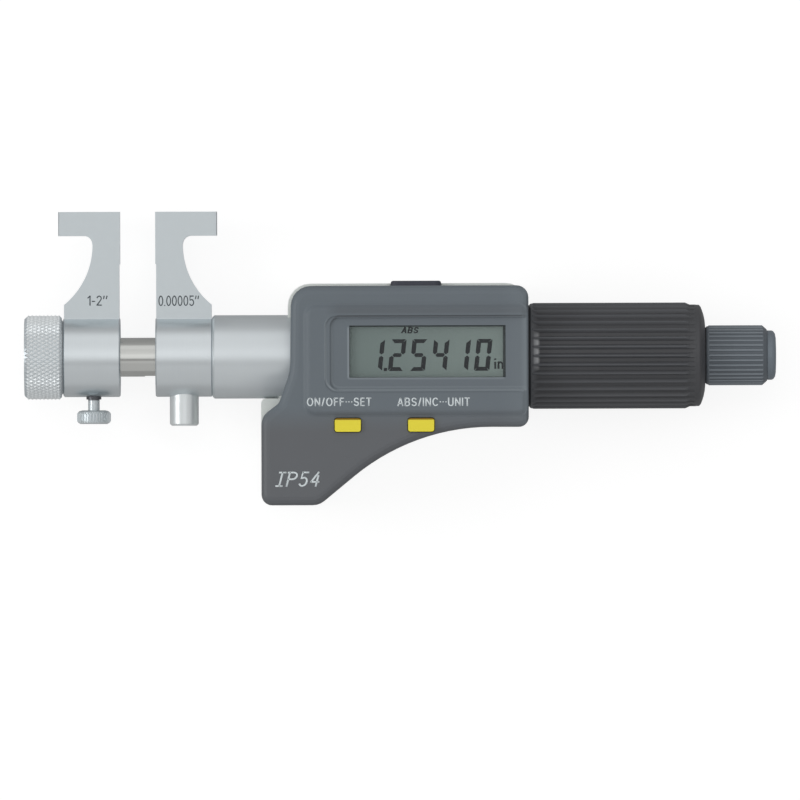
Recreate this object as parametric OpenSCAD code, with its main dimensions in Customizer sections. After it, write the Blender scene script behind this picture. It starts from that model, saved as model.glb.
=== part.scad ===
/* [Measuring jaws] */
// Distance over the two hook tips as stored
reading = 31.854; // [26:0.001:50.8]
// Reach of a hook from the blade's inner edge to its tip
hook_reach = 12.4; // [11.8:0.1:12.6]
// Height of the hook's top above the spindle axis
hook_top = 29.1; // [26:0.1:34]
// Height of the hook measured down its tip face
hook_h = 4.8; // [3:0.1:6]
// Thickness of the flat blade
blade_t = 4.2; // [3:0.1:6]
// Crown radius of the measuring face at the hook's tip
face_r = 10; // [8:0.5:12]
// Relief ground off the blade's inner edge below the hook
blade_relief = 0.16; // [0.1:0.02:0.3]
// Width of the blade left beside the notch
neck_w = 5.5; // [4.5:0.1:7]
// Radius of the swept notch under the hook
notch_r = 15.4; // [14:0.1:18]
// Height above the axis of the notch's deepest point
notch_y = 22.5; // [21:0.1:23.5]
// Fillet between the hook's underside and the neck
notch_fillet = 1.7; // [0.8:0.1:2]
// Length of each jaw's collar along the spindle
collar_l = 11.4; // [10:0.1:13]
// Diameter of each jaw's collar
collar_d = 15.9; // [14:0.1:16.6]

/* [Guide rod] */
// Diameter of the guide rod
rod_d = 7.8; // [7:0.1:8.4]
// Width of the keyway milled along the rod's underside
key_w = 2.0; // [1.6:0.1:2.6]
// Depth of the keyway
key_depth = 1.2; // [0.8:0.1:1.5]
// Travel of the jaw towards its smallest reading
travel_in = 6.454; // [4:0.001:6.6]
// Travel of the jaw towards its largest reading
travel_out = 18.946; // [15:0.001:19]
// Outer diameter of the lead screw's thread
screw_d = 4.0; // [3:0.1:4.6]

/* [Adjusting wheel] */
// Length of the knurled wheel
wheel_l = 7.45; // [6:0.05:10]
// Diameter over the knurl's points
wheel_d = 16.9; // [15:0.1:18]
// Depth of the diamond knurl
knurl_depth = 0.35; // [0.15:0.05:0.4]
// Diamonds round the wheel
knurl_n = 60; // [30:1:64]
// Half diamonds along the wheel
knurl_rows = 8; // [6:2:16]
// Chamfer at the wheel's outer rim
wheel_chamfer = 0.8; // [0.5:0.1:1.5]
// Chamfer at the rim beside the jaw
wheel_back_chamfer = 0.5; // [0.3:0.1:1]
// Diameter of the dark neck between wheel and collar
wheel_neck_d = 14.8; // [12:0.1:15.4]

/* [Clamp screw and key plug] */
// Diameter of the clamp screw's ribbed head
clamp_head_d = 6.8; // [5:0.1:9]
// Height of the clamp screw's head
clamp_head_h = 2.75; // [2.4:0.05:5]
// Bare stem between the collar and the head
clamp_stem_l = 2.65; // [1.5:0.05:5]
// Diameter of the stem
clamp_stem_d = 2.3; // [1.8:0.1:2.8]
// Diameter of the clamp screw's thread
clamp_thread_d = 3.0; // [2.4:0.1:3.6]
// Ribs round the clamp screw's head
clamp_ribs = 36; // [20:1:48]
// Diameter of the key plug under the fixed jaw
plug_d = 5.8; // [4:0.1:7]
// Length of the key plug that stands out of the collar
plug_out = 5.8; // [3:0.1:8]

/* [Sleeve] */
// Outer diameter of the sleeve
sleeve_d = 16.7; // [16.2:0.1:17]
// Length of the sleeve seen between fixed jaw and housing
sleeve_vis = 15.4; // [12:0.1:20]
// Length of the sleeve held inside the housing
sleeve_in = 9.5; // [7:0.1:9.8]
// Diameter of the spigot that carries the fixed jaw
spigot_d = 12; // [10.6:0.1:13]

/* [Housing] */
// Length of the housing along the spindle
housing_l = 47.8; // [47.4:0.1:52]
// Height of the housing's top edge above the spindle axis
top_y = 14.6; // [14.3:0.1:17]
// Depth of the battery lobe below the spindle axis
lobe_y = 29.7; // [29:0.1:34]
// Depth of the right-hand bottom edge below the axis
belly_y = 14.1; // [13.9:0.1:14.5]
// How far the battery lobe reaches left of the housing's left face
lobe_out = 5.7; // [5.2:0.1:7]
// Radius of the swept curve from the belly to the lobe
sweep_r = 43; // [30:1:50]
// Height of the spindle axis above the rest face
axis_z = 11.2; // [11:0.1:13]
// Height of the joint between rear body and cover above the axis
split_up = 3.0; // [2:0.1:4]
// Height of the cover's raised panel above the axis
panel_up = 14.0; // [13.9:0.1:16]
// Height of the raised panel above the rest of the cover
panel_rise = 0.7; // [0.5:0.05:0.8]
// Wall thickness of the two shells
wall = 1.6; // [1.2:0.1:1.8]
// Thickness of the rear body's back wall
back_t = 2.0; // [1.6:0.1:2.4]
// Rim of the rear body left showing round the cover
rim = 0.5; // [0.3:0.05:0.7]

/* [Display] */
// Width of the display opening
lcd_w = 31.2; // [24:0.1:32]
// Height of the display opening
lcd_h = 10.4; // [8:0.1:11]
// Distance of the opening from the housing's right face
lcd_margin = 4.6; // [4.2:0.1:5.4]
// Height of the opening's centre above the spindle axis
lcd_y = 0.95; // [0.5:0.05:1.5]
// Depth of the display recess in the raised panel
recess_depth = 0.6; // [0.3:0.05:0.7]
// Step of the display recess's stepped border
recess_step = 1.0; // [0.5:0.1:1.2]
// Height of the display recess
recess_h = 15.4; // [14.4:0.1:16.2]
// Distance of the recess's left edge from the opening
recess_margin = 4.9; // [3:0.1:5.4]

/* [Buttons, port and battery] */
// Width of a button
button_w = 5.2; // [4:0.1:6]
// Height of a button on the cover
button_h = 2.7; // [2:0.1:2.8]
// Travel of a button
button_travel = 0.5; // [0.3:0.05:0.6]
// How far a button stands proud of the cover
button_proud = 0.6; // [0.4:0.05:0.7]
// Place of the left button along the housing
left_button_x = -12.25; // [-13:0.05:-11]
// Place of the right button along the housing
right_button_x = 2.4; // [0:0.05:3]
// Depth of the buttons below the spindle axis
button_y = -13.7; // [-13.8:0.05:-13.6]
// Width of the data port's cover
port_w = 10.1; // [8:0.1:12]
// Place of the port's cover along the housing
port_x = 1.45; // [0:0.05:3]
// Height of the port's cover
port_h = 7; // [5:0.1:8]
// Diameter of the button cell
cell_d = 11.6; // [11:0.1:12]
// Thickness of the button cell
cell_t = 5.4; // [3:0.1:5.4]
// Diameter of the battery cap
cap_d = 13.8; // [13.2:0.1:13.9]

/* [Thimble and ratchet] */
// Diameter over the thimble's ribs
thimble_d = 21.2; // [20:0.1:21.6]
// Length of the thimble
thimble_l = 35.2; // [33:0.1:38]
// Ribs round the thimble
thimble_ribs = 36; // [24:1:48]
// Depth of the grooves between the ribs
groove_depth = 0.6; // [0.5:0.05:0.8]
// Length of the smooth band at the thimble's left end
band_l = 0.6; // [0.5:0.1:3]
// Length of the smooth end beyond the grooves on the thimble's right
end_band_l = 1.9; // [1.8:0.1:3]
// Diameter of the right-hand smooth end
end_band_d = 20.3; // [20.1:0.1:20.5]
// Inner diameter of the thimble
thimble_bore = 18; // [17.6:0.1:18.4]
// Diameter of the ratchet knob
ratchet_d = 12.0; // [10.5:0.1:13]
// Length of the ratchet knob
ratchet_l = 12.2; // [11:0.1:14]
// Ribs round the ratchet knob
ratchet_ribs = 36; // [24:1:48]
// Diameter of the ratchet's domed end cap
end_cap_d = 9.9; // [9:0.1:10.2]
// Height of the end cap's dome
end_cap_h = 1.8; // [1:0.1:3]

/* [Fits] */
// Radial clearance of a turning or sliding fit
run_fit = 0.05; // [0.03:0.01:0.08]
// Radial clearance of a seat between fixed pieces
seat_fit = 0.02; // [0.01:0.005:0.04]
// Gap between faces that move past each other
face_gap = 0.3; // [0.2:0.05:0.4]

/* [Hidden] */
$fn = 64;

button_x = [left_button_x, right_button_x];

// Stations along the spindle, left to right
hx0 = -housing_l / 2;
hx1 = housing_l / 2;
fixed_x1 = hx0 - sleeve_vis;
fixed_x0 = fixed_x1 - collar_l;
moving_x1 = fixed_x0 - (reading - 2 * hook_reach);
moving_x0 = moving_x1 - collar_l;
thrust_gap = 0.1;
neck_l = 0.25;
wheel_x1 = moving_x0 - thrust_gap - neck_l;
wheel_x0 = wheel_x1 - wheel_l;
tail_d = 6;
tail_x0 = wheel_x0 + 1.6;
thimble_x0 = hx1 + 2 * thrust_gap;
thimble_x1 = thimble_x0 + thimble_l;
ratchet_x0 = thimble_x1 + 2 * thrust_gap;
ratchet_x1 = ratchet_x0 + ratchet_l;

// Encoder discs stand against the lead screw's flange and the rod ends short of them
right_wall_x = hx1 - 2.4;
flange_t = 1.6;
bush_x0 = right_wall_x - flange_t;
screw_flange_t = 1.6;
rotor_hub_l = 2.4;
rotor_hub_x0 = bush_x0 - thrust_gap - screw_flange_t - rotor_hub_l;
disc_t = 1.0;
disc_gap = 0.3;
stator_x0 = rotor_hub_x0 - 2 * disc_t - disc_gap;
rod_clear = 1.2;
rod_x1 = stator_x0 - rod_clear - travel_in;

// Stations across the housing, measured up from the rest face
split_z = axis_z + split_up;
panel_z = axis_z + panel_up;
shoulder_z = panel_z - panel_rise;
recess_z = panel_z - recess_depth;
window_t = 0.8;
window_z = recess_z - 0.2 - window_t;
lcd_x = hx1 - lcd_margin - lcd_w / 2;
glass_t = 1.0;
glass_z = window_z - 0.1 - glass_t;
board_t = 0.8;
board_z = glass_z - 1.8 - board_t;
board_top = board_z + board_t;

// Smooth round of each corner of an outline given as [x, y, radius]
function unit(v) = v / norm(v);
function turn(a, b) = ((b - a + 540) % 360) - 180;
function rounded(c) = [for (i = [0 : len(c) - 1]) each arc_of(c, i)];
function arc_of(c, i) = corner_arc(c[(i + len(c) - 1) % len(c)], c[i], c[(i + 1) % len(c)]);
function first_of(c, corner) = len([for (i = [0 : corner - 1]) each arc_of(c, i)]);
function corner_arc(before, here, after) =
    let (p = [here[0], here[1]], r = here[2],
        u = unit([before[0], before[1]] - p), v = unit([after[0], after[1]] - p),
        half = acos(u * v) / 2,
        centre = p + unit(u + v) * r / sin(half),
        s = p + u * r / tan(half) - centre, e = p + v * r / tan(half) - centre,
        a = atan2(s[1], s[0]), sweep = turn(a, atan2(e[1], e[0])),
        n = max(2, ceil(abs(sweep) / (r > 20 ? 3 : 15))))
    [for (k = [0 : n]) centre + r * [cos(a + sweep * k / n), sin(a + sweep * k / n)]];

// The same outline moved inwards by d
function edge_normal(a, b) = let (t = unit(b - a)) [-t[1], t[0]];
function inset(p, d) = [for (i = [0 : len(p) - 1])
    let (m = edge_normal(p[(i + len(p) - 1) % len(p)], p[i]),
        n = edge_normal(p[i], p[(i + 1) % len(p)]))
    p[i] + d * (m + n) / (1 + m * n)];

// A shell skinned through levels of [height, inset] of one outline. Its flat ends are in sight of
// the outline's first point, or of the second cut point for what lies between two cut points.
module skinned(p, levels, cut = []) {
    n = len(p);
    rows = len(levels);
    ends = cut == [] ? [[each [0 : n - 1]]]
        : [[each [0 : cut[0]], each [cut[1] : n - 1]], [cut[1], each [cut[0] : cut[1] - 1]]];
    points = [for (l = levels) each [for (q = inset(p, l[1])) [q[0], q[1], l[0]]]];
    sides = [for (j = [0 : rows - 2], i = [0 : n - 1])
        [j * n + i, (j + 1) * n + i, (j + 1) * n + (i + 1) % n, j * n + (i + 1) % n]];
    lids = [for (e = ends) [for (i = [len(e) : -1 : 1]) (rows - 1) * n + e[i % len(e)]]];
    polyhedron(points, concat(ends, lids, sides));
}

// Levels of a rounded top edge of radius r ending at height z
function round_top(z, r, steps) = [for (k = [0 : steps])
    let (a = 90 * k / steps) [z - r + r * sin(a), r * (1 - cos(a))]];

// Solids along the spindle axis
module on_axis(x) translate([x, 0, axis_z]) rotate([0, 90, 0]) children();
module bar(x0, x1, d) on_axis(x0) cylinder(d = d, h = x1 - x0);
module turned(profile) on_axis(0) rotate_extrude() polygon([for (q = profile) [q[1], q[0]]]);
module tube(x0, x1, outer, inner) difference() {
    bar(x0, x1, outer);
    bar(x0 - 1, x1 + 1, inner);
}

// Cross-section of a straight-ribbed grip
module ribbed(n, d, depth, crest, root) polygon([for (i = [0 : n - 1],
    k = [[-crest, 0], [crest, 0], [0.5 - root, depth], [0.5 + root, depth]])
    let (a = 360 * (i + k[0]) / n) (d / 2 - k[1]) * [cos(a), sin(a)]]);

// Outline of one jaw's blade, hook pointing to +X from its inner edge
foot_w = collar_l - 0.15;
module blade_outline() difference() {
    union() {
        square([foot_w, hook_top]);
        translate([0, hook_top - hook_h]) square([hook_reach, hook_h]);
    }
    difference() {
        intersection() {
            translate([neck_w + notch_r, notch_y]) circle(notch_r, $fn = 128);
            square([hook_reach + 1, hook_top - hook_h]);
        }
        translate([neck_w - 0.2, hook_top - hook_h - notch_fillet]) difference() {
            square([notch_fillet + 0.25, notch_fillet + 0.1]);
            translate([notch_fillet + 0.25, 0]) circle(notch_fillet);
        }
    }
    translate([-1, -1]) square([1 + blade_relief, 1 + hook_top - 10.5]);
}
module jaw_blank(bore) difference() {
    union() {
        intersection() {
            translate([0, 0, axis_z - blade_t / 2]) linear_extrude(blade_t) blade_outline();
            translate([hook_reach - face_r, 40, axis_z]) rotate([90, 0, 0])
                cylinder(r = face_r, h = 50, $fn = 128);
        }
        translate([0, 0, axis_z]) rotate([0, 90, 0]) {
            cylinder(d1 = collar_d - 0.5, d2 = collar_d, h = 0.25);
            translate([0, 0, 0.25]) cylinder(d = collar_d, h = collar_l - 0.5);
            translate([0, 0, collar_l - 0.25]) cylinder(d1 = collar_d, d2 = collar_d - 0.5, h = 0.25);
        }
    }
    translate([-1, 0, axis_z]) rotate([0, 90, 0]) cylinder(d = bore, h = collar_l + 2);
}

// Places of the two radial screws along the spindle
clamp_offset = 0.35;
clamp_x = moving_x1 - collar_l / 2 + clamp_offset;
plug_x = fixed_x0 + collar_l / 2;
clamp_hole_d = clamp_thread_d + 2 * run_fit;
module down_from_axis(x) translate([x, 0, axis_z]) rotate([90, 0, 0]) children();

module moving_jaw() color([0.72, 0.75, 0.77]) difference() {
    translate([moving_x1, 0, 0]) mirror([1, 0, 0]) jaw_blank(rod_d + 2 * seat_fit);
    down_from_axis(clamp_x) translate([0, 0, rod_d / 2 - 0.5]) cylinder(d = clamp_hole_d, h = collar_d);
}
wiper_d = rod_d + 3;
wiper_t = 1.2;
module fixed_jaw() color([0.72, 0.75, 0.77]) difference() {
    translate([fixed_x0, 0, 0]) jaw_blank(rod_d + 2 * run_fit);
    bar(fixed_x0 - 1, fixed_x0 + wiper_t, wiper_d + 2 * seat_fit);
    bar(fixed_x0 + wiper_t + 0.6, fixed_x1 + 1, spigot_d + 2 * seat_fit);
    down_from_axis(plug_x) cylinder(d = plug_d + 2 * seat_fit, h = collar_d);
}
module rod_wiper() color([0.15, 0.15, 0.16])
    tube(fixed_x0 + 0.1, fixed_x0 + wiper_t, wiper_d, rod_d + 2 * run_fit);

// Keyway long enough for the key pin over the whole travel
key_x0 = plug_x - travel_in - key_w / 2 - 0.4;
key_x1 = plug_x + travel_out + key_w / 2 + 0.4;
thread_hold = 13;
screw_tip_x = rod_x1 - travel_out - thread_hold;
nut_bore_x0 = screw_tip_x - travel_in - 1;
module guide_rod() color([0.62, 0.62, 0.60]) difference() {
    union() {
        bar(moving_x0, rod_x1 - 0.4, rod_d);
        on_axis(rod_x1 - 0.4) cylinder(d1 = rod_d, d2 = rod_d - 0.8, h = 0.4);
        bar(tail_x0, moving_x0, tail_d);
    }
    bar(nut_bore_x0, rod_x1 + 1, screw_d + 2 * run_fit);
    translate([key_x0, -rod_d, axis_z - key_w / 2 - run_fit])
        cube([key_x1 - key_x0, rod_d / 2 + key_depth, key_w + 2 * run_fit]);
}

// The wheel is one skin: chamfer, rows of high and low knurl points, chamfer, neck
knurl_step = (wheel_l - wheel_chamfer - wheel_back_chamfer) / knurl_rows;
wheel_rings = concat([[wheel_x0, wheel_d / 2 - wheel_chamfer, 0]],
    [for (j = [0 : knurl_rows]) [wheel_x0 + wheel_chamfer + j * knurl_step, wheel_d / 2, knurl_depth]],
    [[wheel_x1, wheel_d / 2 - wheel_back_chamfer, 0], [wheel_x1 + 0.02, wheel_neck_d / 2, 0],
        [moving_x0 - thrust_gap, wheel_neck_d / 2, 0]]);
module knurled_skin() {
    n = 2 * knurl_n;
    last = len(wheel_rings) - 1;
    points = [for (j = [0 : last], i = [0 : n - 1])
        let (ring = wheel_rings[j], q = ring[1] - (i + j) % 2 * ring[2])
        [q * cos(360 * i / n), q * sin(360 * i / n), ring[0]]];
    polyhedron(points, concat([[for (i = [0 : n - 1]) i]],
        [[for (i = [n - 1 : -1 : 0]) last * n + i]],
        [for (j = [0 : last - 1], i = [0 : n - 1]) each
            let (a = j * n + i, b = j * n + (i + 1) % n, c = a + n, d = b + n)
            (i + j) % 2 == 0 ? [[a, c, b], [b, c, d]] : [[a, c, d], [a, d, b]]]));
}
module adjusting_wheel() color([0.72, 0.75, 0.77]) difference() {
    on_axis(0) knurled_skin();
    bar(tail_x0 - face_gap, wheel_x1 + 2, tail_d + 2 * run_fit);
}

clamp_head_y = collar_d / 2 + clamp_stem_l;
module clamp_screw() color([0.68, 0.71, 0.74]) down_from_axis(clamp_x) {
    translate([0, 0, rod_d / 2 + face_gap])
        cylinder(d = clamp_thread_d, h = collar_d / 2 + 0.5 - rod_d / 2 - face_gap);
    translate([0, 0, collar_d / 2 + 0.5])
        cylinder(d = clamp_stem_d, h = clamp_head_y - collar_d / 2 - 0.5);
    intersection() {
        translate([0, 0, clamp_head_y]) linear_extrude(clamp_head_h)
            ribbed(clamp_ribs, clamp_head_d, 0.24, 0.16, 0.12);
        rotate_extrude() polygon([[0, clamp_head_y], [clamp_head_d / 2 - 1.1, clamp_head_y],
            [clamp_head_d / 2 - 0.5, clamp_head_y + 0.16], [clamp_head_d / 2 - 0.16, clamp_head_y + 0.45],
            [clamp_head_d / 2 + 0.05, clamp_head_y + 0.8],
            [clamp_head_d / 2 + 0.05, clamp_head_y + clamp_head_h - 0.7],
            [clamp_head_d / 2 - 0.2, clamp_head_y + clamp_head_h - 0.3],
            [clamp_head_d / 2 - 0.7, clamp_head_y + clamp_head_h], [0, clamp_head_y + clamp_head_h]]);
    }
}

// The plug seats on the sleeve's spigot and its pin runs in the keyway
pin_hole_d = key_w + 2 * seat_fit;
module key_plug() color([0.74, 0.77, 0.79]) down_from_axis(plug_x) {
    translate([0, 0, rod_d / 2 - key_depth + 0.15]) cylinder(d = key_w, h = spigot_d / 2);
    translate([0, 0, spigot_d / 2 + 0.1])
        cylinder(d = plug_d, h = collar_d / 2 - spigot_d / 2 + plug_out - 0.5);
    translate([0, 0, collar_d / 2 + plug_out - 0.4]) cylinder(d1 = plug_d, d2 = plug_d - 0.8, h = 0.4);
}
spigot_x0 = fixed_x0 + wiper_t + 0.7;
sleeve_x1 = hx0 + sleeve_in;
module sleeve() color([0.70, 0.73, 0.75]) difference() {
    union() {
        bar(spigot_x0, fixed_x1, spigot_d);
        on_axis(fixed_x1) cylinder(d1 = sleeve_d - 0.8, d2 = sleeve_d, h = 0.4);
        bar(fixed_x1 + 0.4, sleeve_x1, sleeve_d);
    }
    bar(spigot_x0 - 1, sleeve_x1 + 1, rod_d + 2 * run_fit);
    down_from_axis(plug_x) cylinder(d = pin_hole_d, h = collar_d);
}

// Housing outlines, running anticlockwise from the top right
lobe_x = hx0 - lobe_out;
slope_a = 39.5;
sweep_x = 0.95;
slope_foot_x = sweep_x - (lobe_y - belly_y) / tan(slope_a);
cover_corners = [[hx1, top_y - rim, 2.4], [hx0 + 0.4, top_y - rim, 4.0], [hx0 + 0.15, -3, 10],
    [hx0 - 2.1, -9.3, 1.5], [lobe_x + 0.1, -12, 3.2], [lobe_x + 0.1, -lobe_y, 2.1],
    [slope_foot_x, -lobe_y, 3.6], [sweep_x, -belly_y, sweep_r], [hx1, -belly_y - 0.1, 2.0]];
rear_corners = [[hx1 - 0.1, top_y, 4.4], [hx0 - 0.3, top_y, 4.5], [hx0 - 0.3, -3, 6],
    [hx0 - 2.2, -sleeve_d / 2, 0.4], [lobe_x, -sleeve_d / 2, 1.0], [lobe_x, -lobe_y + 0.1, 2.1],
    [slope_foot_x, -lobe_y + 0.1, 3.6], [sweep_x, -belly_y + 0.1, sweep_r], [hx1 - 0.1, -belly_y, 2.0]];
panel_top = 10.6;
panel_bottom = -12.1;
panel_x0 = hx0 + 2.8;
panel_corners = [[hx1 - 0.2, panel_top, 1.6], [panel_x0, panel_top, 2.4], [panel_x0, panel_bottom, 2.4],
    [hx1 - 0.2, panel_bottom, 1.6]];
cover_line = rounded(cover_corners);
rear_line = rounded(rear_corners);

// Screw posts, battery well and bush carried by the shells
post_edge = 3.4;
lobe_post_x = -10.6;
lobe_post_up = 9.3;
post_at = [[hx0 + post_edge, top_y - post_edge], [hx1 - post_edge - 0.2, top_y - post_edge],
    [hx1 - post_edge - 0.2, 2.8 - belly_y], [lobe_post_x, lobe_post_up - lobe_y]];
post_d = 4.4;
screw_shank_d = 2.0;
screw_head_d = 3.6;
cell_at = [lobe_x + 7.9, -lobe_y + 7.9];
cap_t = 2.0;
bush_d = 16.8;
bush_flange_d = 18;
block_y = sleeve_d / 2 + wall;
cavity_x0 = sleeve_x1 + 0.3;
module inner_space() intersection() {
    linear_extrude(60) polygon(inset(cover_line, wall));
    linear_extrude(60) cavity_span(0);
}
module cavity_span(edge) {
    translate([cavity_x0 + edge, -40]) square([right_wall_x - cavity_x0 - 2 * edge, 80]);
    translate([lobe_x, -40]) square([cavity_x0 - lobe_x + 1, 40 - block_y - edge]);
}
module sleeve_bore() {
    bar(hx0 - 20, sleeve_x1, sleeve_d + 2 * seat_fit);
    bar(sleeve_x1 - 1, cavity_x0 + 1, rod_d + 2);
}
port_z = axis_z + 2.5;
port_ledge = 0.9;
port_play = 0.15;
module port_hole() translate([port_x - port_w / 2 + port_ledge, 5, port_z - port_h / 2 + port_ledge])
    cube([port_w - 2 * port_ledge, 20, port_h - 2 * port_ledge]);
module port_seat() translate([port_x, top_y - rim - port_play - 0.1, port_z]) rotate([-90, 0, 0])
    linear_extrude(5) square([port_w + 2 * port_play, port_h + 2 * port_play], center = true);

bulkhead_t = 1.8;
gasket_t = 0.4;
top_round = 1.7;
post_gap = 0.05;
module rear_body() color([0.76, 0.78, 0.77]) difference() {
    union() {
        difference() {
            skinned(rear_line, [[0, 0.8], [0.8, 0], [split_z, 0]],
                [first_of(rear_corners, 3), first_of(rear_corners, 7) - 1]);
            translate([0, 0, back_t]) inner_space();
        }
        for (p = post_at) translate([p[0], p[1], back_t - 0.5])
            cylinder(d = post_d, h = split_z + gasket_t - post_gap - back_t + 0.5);
        translate([cell_at[0], cell_at[1], back_t - 0.5])
            cylinder(d = cap_d + 1.4, h = cell_z + cell_t - back_t);
        translate([stator_x0 - bulkhead_t - 0.02, -8.4, back_t - 0.5])
            cube([bulkhead_t, 16.8, split_z - back_t]);
    }
    translate([cell_at[0], cell_at[1], -1]) cylinder(d = cap_d + 2 * run_fit, h = 1 + cap_t + 0.2);
    translate([cell_at[0], cell_at[1], 1]) cylinder(d = cell_d + 0.4, h = split_z);
    sleeve_bore();
    bar(right_wall_x - 1, hx1 + 1, bush_d + 2 * seat_fit);
    bar(stator_x0 - bulkhead_t - 1, stator_x0 + 1, journal_d + 1.4);
    for (p = post_at) translate([p[0], p[1], -1]) {
        cylinder(d = screw_shank_d + 2 * seat_fit, h = split_z + 2);
        cylinder(d = screw_head_d + 0.3, h = 2.2);
    }
    port_hole();
    port_seat();
}
module front_cover() color([0.38, 0.41, 0.43]) difference() {
    union() {
        skinned(cover_line, concat([[split_z + gasket_t, 0]], round_top(shoulder_z, top_round, 4)));
        skinned(rounded(panel_corners), concat([[shoulder_z - 1, 0]],
            [for (q = [[0, 0], [0.2, 0.35], [0.6, 0.7], [0.88, 1.0], [1, 1.3]])
                [shoulder_z + q[0] * panel_rise, q[1]]]));
    }
    difference() {
        intersection() {
            inner_space();
            translate([-50, -50, 0]) cube([100, 100, window_z]);
        }
        for (p = post_at) translate([p[0], p[1], 0]) cylinder(d = post_d, h = 50);
        translate([-50, -50, shoulder_z - wall]) difference() {
            cube([100, 100, 20]);
            translate([50 + panel_x0 + wall, 50 + panel_bottom + wall, -1])
                cube([right_wall_x - panel_x0 - wall, panel_top - panel_bottom - 2 * wall, 30]);
        }
    }
    display_pocket(0.1, board_top, window_z + window_t - board_top);
    translate([lcd_x - lcd_w / 2, lcd_y - lcd_h / 2, window_z]) cube([lcd_w, lcd_h, 5]);
    display_recess(0, 2 * recess_depth / 3);
    display_recess(recess_step, 0);
    for (x = button_x) translate([x, button_y, 0]) button_hole();
    sleeve_bore();
    bar(right_wall_x - 1, hx1 + 1, bush_d + 2 * seat_fit);
    translate([cell_at[0], cell_at[1], 0]) cylinder(d = cell_d + 0.4, h = axis_z + 4);
    for (p = post_at) translate([p[0], p[1], 0]) cylinder(d = screw_shank_d, h = split_z + 6.2);
    port_hole();
    port_seat();
}
recess_y = lcd_y - 0.5;
recess_r = 2.5;
module display_recess(step, up) {
    x0 = lcd_x - lcd_w / 2 - recess_margin + step;
    y0 = recess_y - recess_h / 2 + 0.4 * step;
    y1 = recess_y + recess_h / 2 - 0.4 * step;
    r = recess_r - 0.7 * step;
    translate([0, 0, recess_z + up]) linear_extrude(5) {
        translate([x0 + r, y0]) square([hx1 - x0, y1 - y0]);
        translate([x0, y0 + r]) square([hx1 - x0, y1 - y0 - 2 * r]);
        for (y = [y0 + r, y1 - r]) translate([x0 + r, y]) circle(r);
    }
}
module display_pocket(gap, z, t) translate([lcd_x - lcd_w / 2 - 1 - gap, lcd_y - lcd_h / 2 - 1 - gap, z])
    cube([lcd_w + 2 + 2 * gap, lcd_h + 2 + 2 * gap, t]);
module plate(w, h, r) {
    square([w - 2 * r, h], center = true);
    square([w, h - 2 * r], center = true);
    for (x = [-1, 1], y = [-1, 1]) translate([x * (w / 2 - r), y * (h / 2 - r)]) circle(r);
}
button_r = 0.5;
module button_hole() linear_extrude(60)
    plate(button_w + face_gap, button_h + face_gap, button_r + face_gap / 2);

module cover_gasket() color([0.12, 0.12, 0.13]) difference() {
    translate([0, 0, split_z]) linear_extrude(gasket_t) difference() {
        polygon(inset(cover_line, 0.15));
        intersection() {
            polygon(inset(cover_line, wall));
            cavity_span(0);
        }
        for (p = post_at) translate(p) circle(d = post_d + 2 * post_gap);
        translate(cell_at) circle(d = cell_d + 0.4);
    }
    sleeve_bore();
    bar(right_wall_x - 1, hx1 + 1, bush_d + 2 * seat_fit);
    port_hole();
    port_seat();
}
module cover_screws() color([0.5, 0.5, 0.52]) for (p = post_at) translate([p[0], p[1], 0]) difference() {
    union() {
        translate([0, 0, 0.3]) cylinder(d = screw_head_d, h = 0.9);
        translate([0, 0, 1.2]) cylinder(d = screw_shank_d - 0.02, h = split_z + 4.6);
    }
    translate([0, 0, -1]) cylinder(d = 1.6, h = 1.9, $fn = 6);
}

module display_window() color([0.6, 0.66, 0.62]) display_pocket(0, window_z, window_t);
module lcd_panel() color([0.48, 0.54, 0.5]) display_pocket(0, glass_z, glass_t);
module lcd_connectors() color([0.85, 0.5, 0.6]) for (side = [-1, 1])
    translate([lcd_x - lcd_w / 2, lcd_y + side * (lcd_h / 2) - 0.9, board_top])
        cube([lcd_w, 1.8, glass_z - board_top]);
board_edge = 0.4;
module circuit_board() color([0.1, 0.35, 0.2]) difference() {
    translate([0, 0, board_z]) linear_extrude(board_t) intersection() {
        polygon(inset(cover_line, wall + board_edge));
        cavity_span(board_edge);
        translate([cell_at[0] + cell_d / 2 - 1.5, cell_at[1] - 2])
            square([bush_x0 - board_edge - cell_at[0] - cell_d / 2 + 1.5, 10 - cell_at[1] + 2]);
    }
    for (p = post_at) translate([p[0], p[1], board_z - 1]) cylinder(d = post_d + 0.4, h = board_t + 2);
}
switch_h = 0.9;
module key_switches() color([0.2, 0.2, 0.2]) for (x = button_x) translate([x, button_y + 0.2, board_top]) {
    translate([-1.8, -1, 0]) cube([3.6, 2, switch_h - 0.3]);
    cylinder(d = 1.4, h = switch_h);
}
button_top = shoulder_z + button_proud;
button_lip = 0.6;
button_bevel = 0.45;
flange_z = board_top + switch_h + button_travel + 0.05;
module button(x) color([0.87, 0.8, 0.2]) translate([x, button_y, 0]) {
    difference() {
        translate([0, 0, flange_z]) linear_extrude(button_top - flange_z)
            plate(button_w, button_h, button_r);
        translate([0, button_h / 2, button_top]) rotate([45, 0, 0])
            cube([button_w + 2, button_bevel, button_bevel], center = true);
    }
    translate([-button_w / 2 - button_lip, 0.1, flange_z])
        cube([button_w + 2 * button_lip, button_h / 2 - 0.1, shoulder_z - wall - flange_z - 0.1]);
}
module left_button() button(button_x[0]);
module right_button() button(button_x[1]);

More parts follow.
